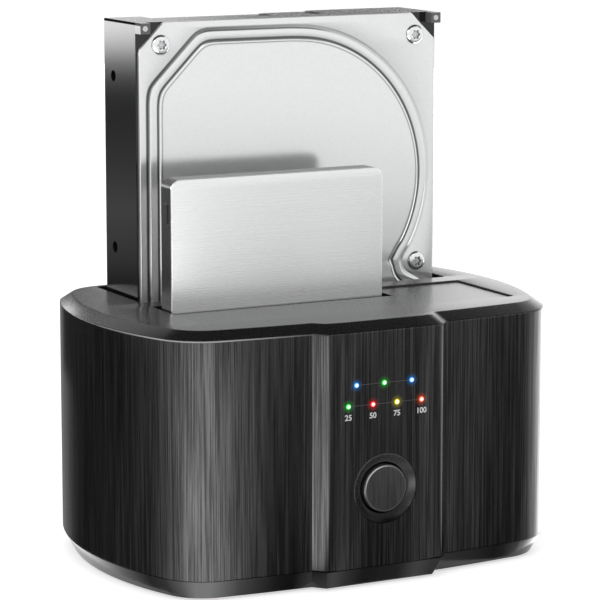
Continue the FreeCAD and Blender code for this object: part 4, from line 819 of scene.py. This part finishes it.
# ---------------------------------------------------------------- the 2.5-inch drive
# A slim solid-state drive: a charcoal plastic tray with a brushed aluminium plate, blanked and
# brushed across, over its whole front.
plate_low, plate_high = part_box("ssd_face")
PLATE_EASE = 0.22 * MM
PLATE_CORNER = 3.0 * MM
plate_w, plate_t, plate_h = plate_high - plate_low
rows = [*round_corner((0, plate_t), (0, 0), (plate_t, plate_t), PLATE_EASE)[::-1], (0, 0)]
loops = [rounded(plate_w, plate_h, inset, PLATE_CORNER) for inset, _ in rows]
plate = build("brushed_plate", [layers(loops, [out for _, out in rows]),
                                flat([loops[0]], plate_t), flat([loops[-1]], 0)],
              place=facing(plate_low, plate_high.y))
brushed_plate, tree, shader = finish_of("brushed_aluminium", {"Metallic": 0.9})
fine = grain(tree, (60.0, 0.5, 0.2), 3.0)
broad = grain(tree, (90.0, 3.0, 5.0), 2.0)
tint = vary(tree, fine, "#E9EAEA", "#F1F2F2", 0.2, 0.8)
tint = vary(tree, vary(tree, broad, 0, 0.4), tint, "#E9EBEB", 0, 1)
tree.links.new(tint, shader.inputs["Base Color"])
tree.links.new(vary(tree, fine, 0.3, 0.26), shader.inputs["Roughness"])
relief = add(tree, "Bump", {"Height": fine, "Distance": 0.0006 * MM})
tree.links.new(relief.outputs[0], shader.inputs["Normal"])
wear(brushed_plate, plate)
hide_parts("ssd_face")
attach(plate, "solid_state_drive")

wear(grained("charcoal_plastic", {"IOR": 1.5}, (0.3, 0.3, 0.3), 3.0, ("#323233", "#3C3C3D"),
             (0.2, 0.28)), None, "ssd_case")

# A plain paper label covers most of the tray's back.
LABEL_T = 0.05 * MM
label_loop = rounded(56 * MM, 78 * MM, 0, 2 * MM) + np.array([7, 14]) * MM
label = build("plain_label", [layers([label_loop, label_loop], [0, -LABEL_T]),
                              flat([label_loop], 0), flat([label_loop], -LABEL_T)],
              place=facing(plate_low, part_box("ssd_case")[1].y))
wear(grained("label_paper", {"IOR": 1.45}, (0.3, 0.3, 0.3), 3.0, ("#DCDCDA", "#E8E8E6"),
             (0.5, 0.6)), label)
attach(label, "solid_state_drive")


# ---------------------------------------------------------------- everything inside and behind
# Liners, sockets, ports and small parts are moulded matt black, the flaps satin like the lid.
# The boards are green laminate with soldered parts, held by plated screws.
wear(grained("matt_black_abs", {"IOR": 1.5}, (0.4, 0.4, 0.4), 3.0, ("#0E0E0E", "#161616"),
             (0.5, 0.62)),
     None, "front_bay_liner", "rear_bay_liner", "front_socket", "rear_socket", "hdd_plug",
     "ssd_plug", "dc_jack", "switch_body", "power_rocker", "clone_switch", "board_chips",
     "case_screws", "rubber_feet")
wear(satin_black, None, "front_big_flap", "front_small_flap", "rear_big_flap", "rear_small_flap")
wear(grained("green_circuit_laminate", {"IOR": 1.5}, (0.6, 0.6, 0.6), 3.0,
             ("#0E3B22", "#175230"), (0.28, 0.4)), None, "main_board", "front_board", "hdd_board")
wear(grained("aluminium_can", {"Metallic": 1.0}, (0.3, 0.3, 2.0), 3.0, ("#A9ABAD", "#C0C2C4"),
             (0.3, 0.4)), None, "capacitors")
wear(grained("blue_nylon", {"IOR": 1.53}, (0.4, 0.4, 0.4), 3.0, ("#1B4FA8", "#2560C0"),
             (0.4, 0.5)), None, "usb_tongues")
wear(grained("white_led_body", {"IOR": 1.55}, (0.3, 0.3, 0.3), 2.0, ("#D8D8D2", "#E6E6E0"),
             (0.4, 0.5)), None, "led_chips")


# ---------------------------------------------------------------- camera
# A long lens, low and to the left, as for a catalogue: from that far off the upright edges stay
# nearly parallel.
CAMERA_AT = Vector((-401.9, -763.05, 223.6)) * MM
CAMERA_TO = Vector((0.4585, 0.8727, -0.1681))
camera_data = bpy.data.cameras.new("camera")
camera_data.sensor_width = 36
camera_data.lens = 174.5
camera = bpy.data.objects.new("camera", camera_data)
camera.location = CAMERA_AT
camera.rotation_euler = CAMERA_TO.to_track_quat("-Z", "Y").to_euler()
bpy.context.collection.objects.link(camera)
bpy.context.scene.camera = camera
bpy.context.scene.view_settings.view_transform = "Standard"


# ---------------------------------------------------------------- floor, cards and light
# A white paper floor in a white room. Both are bright where they are seen or mirrored, and
# plainer for scattered light.
FLOOR_HALF = 8.0


def level_square(name, half, height, shade=0.0):
    """Square card about the origin, at a height."""
    corners = np.column_stack([rectangle(2 * half, 2 * half), np.full(4, height)])
    return build(name, [(corners, np.arange(4)[None, :], np.full(4, shade))])


def seen_directly(tree):
    """One for light that the camera, a mirror or a clear piece sees, and nought for scattered
    light: the largest of three marks on the ray."""
    path = add(tree, "LightPath").outputs
    seen = add(tree, "Math", {0: path["Is Camera Ray"], 1: path["Is Glossy Ray"]},
               operation="MAXIMUM").outputs[0]
    return add(tree, "Math", {0: seen, 1: path["Is Transmission Ray"]},
               operation="MAXIMUM").outputs[0]


floor = level_square("floor", FLOOR_HALF, 0.0)
white_paper, tree, shader = finish_of("white_paper", {"Roughness": 1.0, "Specular IOR Level": 0.0,
                                                      "Base Color": srgb("#E6E6E6"),
                                                      "Emission Color": srgb("#FFFFFF")})
tree.links.new(vary(tree, seen_directly(tree), 0.0, 0.62, 0, 1),
               shader.inputs["Emission Strength"])
wear(white_paper, floor)

world = bpy.data.worlds.new("studio")
bpy.context.scene.world = world
world.use_nodes = True
tree = world.node_tree
tree.nodes.clear()
sky = add(tree, "Background", {"Color": srgb("#FFFFFF"),
                               "Strength": vary(tree, seen_directly(tree), 0.5, 1.0, 0, 1)})
tree.links.new(sky.outputs[0], add(tree, "OutputWorld").inputs[0])

# A graded card lies on the floor and shows only in the gloss of the walls, as the black and
# white cards of a studio do. Each of its lines starts at a point of the wall's foot and runs the
# way in which the camera sees it mirrored there, so that the walls show soft upright streaks.
CARD_AT = np.array([-143, -127, -120, -114, -109, -97, -87, -79, -71.5, -65, -59.5, -54.3, -49,
                    -43.7, -38.2, -32.6, -27, -16, -10.3, -4.4, 1.5, 7.4, 13.5, 22, 29, 36, 42,
                    49, 53, 57, 61]) * MM
CARD_SHADE = np.array([0.35, 0.25, 0.1, 0.04, 0.03, 0.07, 0.12, 0.15, 0.3, 1.4, 3.5, 3.6, 2.2,
                       0.9, 0.45, 0.12, 0.04, 1.0, 0.4, 0.1, 0.15, 0.2, 0.8, 0.15, 0.03, 0.02,
                       0.02, 0.15, 0.5, 1.8, 4.0])
CARD_HEIGHT = 0.4 * MM
CARD_ROWS = np.array([-0.003, 0.004, 0.01, 0.1, 0.16, 0.22, 0.3, 0.36, 0.42, 0.5, 0.6, 0.75,
                      1.7])
FADE_AT = np.array([-90, -70, -20, 10]) * MM    # where along the wall, and how far out, the
FADE_START = np.array([0.57, 0.34, 0.36, 0.5])  # streaks start to fade into the far shade
FADE_OVER = 0.18
FAR_AT = np.array([0.48, 1.0, 1.7])
FAR_SHADE = np.array([0.8, 0.95, 1.12])
SKIRT_ROWS = 2            # these show only in the skirt, which is brighter round its left end
SKIRT_AT = np.array([-143, -112, -95, -80]) * MM
SKIRT_SHADE = np.array([2.5, 1.8, 0.7, 0.0])

foot = outline(0)
edge = np.roll(foot, -1, 0) - np.roll(foot, 1, 0)
normal = np.column_stack([edge[:, 1], -edge[:, 0]]) / np.hypot(*edge.T)[:, None]
look = foot - np.array(CAMERA_AT.xy)
look /= np.hypot(*look.T)[:, None]
away = look - 2 * (look * normal).sum(1)[:, None] * normal
along = np.cumsum(np.hypot(*(foot - np.roll(foot, 1, 0)).T))
whole = along[-1]
along -= along[FACE_POINTS // 2]
along = np.where(along > whole / 2, along - whole, along)
order = np.argsort(along)
from_side = np.abs(np.abs(foot[:, 0]) - (PANEL_FACE + PANEL_ROOT) / 2)
beside_panel = (from_side < 1.6 * MM) & (foot[:, 1] < 0)
order = order[((look * normal).sum(1) < 0)[order] & ~beside_panel[order]]
heading = np.unwrap(np.arctan2(away[order, 0], -away[order, 1]))
order = order[heading >= np.maximum.accumulate(heading) - 1e-6]
points = foot[order][None] + away[order][None] * CARD_ROWS[:, None, None]
start = np.interp(along[order], FADE_AT, FADE_START)
fade = np.clip((CARD_ROWS[:, None] - start) / FADE_OVER, 0, 1)
shade = np.interp(along[order], CARD_AT, CARD_SHADE)[None] * (1 - fade)
shade += fade * np.interp(CARD_ROWS, FAR_AT, FAR_SHADE)[:, None]
shade[:SKIRT_ROWS] += np.interp(along[order], SKIRT_AT, SKIRT_SHADE)
points = np.dstack([points, np.full(shade.shape, CARD_HEIGHT)])
front_card = build("front_card", [(*band(points, wrap_columns=False), shade.ravel())])

graded, tree, shader = finish_of("graded_card", {"Roughness": 1.0, "Specular IOR Level": 0.0,
                                                 "Base Color": srgb("#000000"),
                                                 "Emission Color": srgb("#FFFFFF")})
tree.links.new(add(tree, "Attribute", attribute_name="shade").outputs["Fac"],
               shader.inputs["Emission Strength"])


def upright_card(name, place, out, distance, lateral, heights, shades):
    """Card across the direction out: its points are the place, plus the distance along out, plus
    each lateral step across it, at each height."""
    out = np.array(out)
    line = np.array(place) * MM + distance * out + np.outer(lateral, (out[1], -out[0]))
    points = np.stack([np.column_stack([line, np.full(len(line), z)]) for z in heights])
    shades = np.broadcast_to(shades, points.shape[:2])
    return build(name, [(*band(points, wrap_columns=False), shades.ravel())])


# An upright card behind and to the left grades the glossy side of the tall drive from dark to
# light at its top, and a black one overhead keeps the sloping rim of the lid dark.
SIDE_DISTANCE = 0.25
SIDE_HALF = 0.15
TOP_HALF = 0.45
TOP_Z = 0.6
TOP_SHADE = 0.04
SIDE_Z = np.array([1, 39, 50, 69, 87, 106, 114, 121, 127, 134, 140, 165]) * MM
SIDE_SHADE = np.array([0.04, 0.05, 0.2, 0.35, 0.2, 0.1, 0.12, 0.4, 1.4, 4.0, 5.6, 6.0])
side_card = upright_card("side_card", (-47, 25), (-0.4651, 0.8853), SIDE_DISTANCE,
                         (-SIDE_HALF, SIDE_HALF), SIDE_Z, SIDE_SHADE[:, None])
top_card = level_square("top_card", TOP_HALF, TOP_Z, TOP_SHADE)
# Two more stand behind. The drive's upper end mirrors the higher one, light at the left and grey
# beyond. The lid mirrors the lower one, dark at its left end and bright at its right.
BACK_OUT = (0.465, 0.885)
BACK_PLACE = (3, 25)
BACK_DISTANCE = 0.5
BACK_AT = np.array([-600, -108, -97, -74, -45, -15, 20, 68, 84, 600]) * MM
BACK_SHADE = (0.3, 0.3, 0.85, 0.85, 0.6, 0.3, 0.2, 0.18, 2.0, 2.4)
LOW_AT = np.array([-600, -90, -60, 30, 55, 80, 600]) * MM
LOW_SHADE = (0.25, 0.3, 0.8, 1.0, 1.6, 2.2, 2.4)
back_card = upright_card("back_card", BACK_PLACE, BACK_OUT, BACK_DISTANCE, BACK_AT, (0.184, 0.4),
                         BACK_SHADE)
low_card = upright_card("low_card", BACK_PLACE, BACK_OUT, BACK_DISTANCE, LOW_AT, (0.01, 0.182),
                        LOW_SHADE)
for card in (front_card, side_card, top_card, back_card, low_card):
    card.visible_camera = False
    card.visible_diffuse = False
    card.visible_shadow = False
    wear(graded, card)


def soft_box(name, place, aim, width, height, brightness):
    """Rectangular panel of light. Its power is brightness x pi x area, so that a mirror facing
    it shows it at that brightness."""
    light = bpy.data.lights.new(name, "AREA")
    light.shape = "RECTANGLE"
    light.size = width
    light.size_y = height
    light.energy = brightness * math.pi * width * height
    lamp = bpy.data.objects.new(name, light)
    lamp.location = place
    lamp.rotation_euler = (Vector(aim) - Vector(place)).to_track_quat("-Z", "Y").to_euler()
    lamp.visible_camera = False
    bpy.context.collection.objects.link(lamp)


soft_box("back_right", (0.9, 1.3, 0.35), (0, 0, 0.08), 0.9, 0.7, 2.5)
soft_box("overhead", (-0.3, -0.6, 1.4), (0, 0, 0.1), 1.2, 1.2, 1.3)
soft_box("front_left", (-0.95, -0.75, 0.75), (0, 0, 0.06), 0.5, 0.25, 6.0)
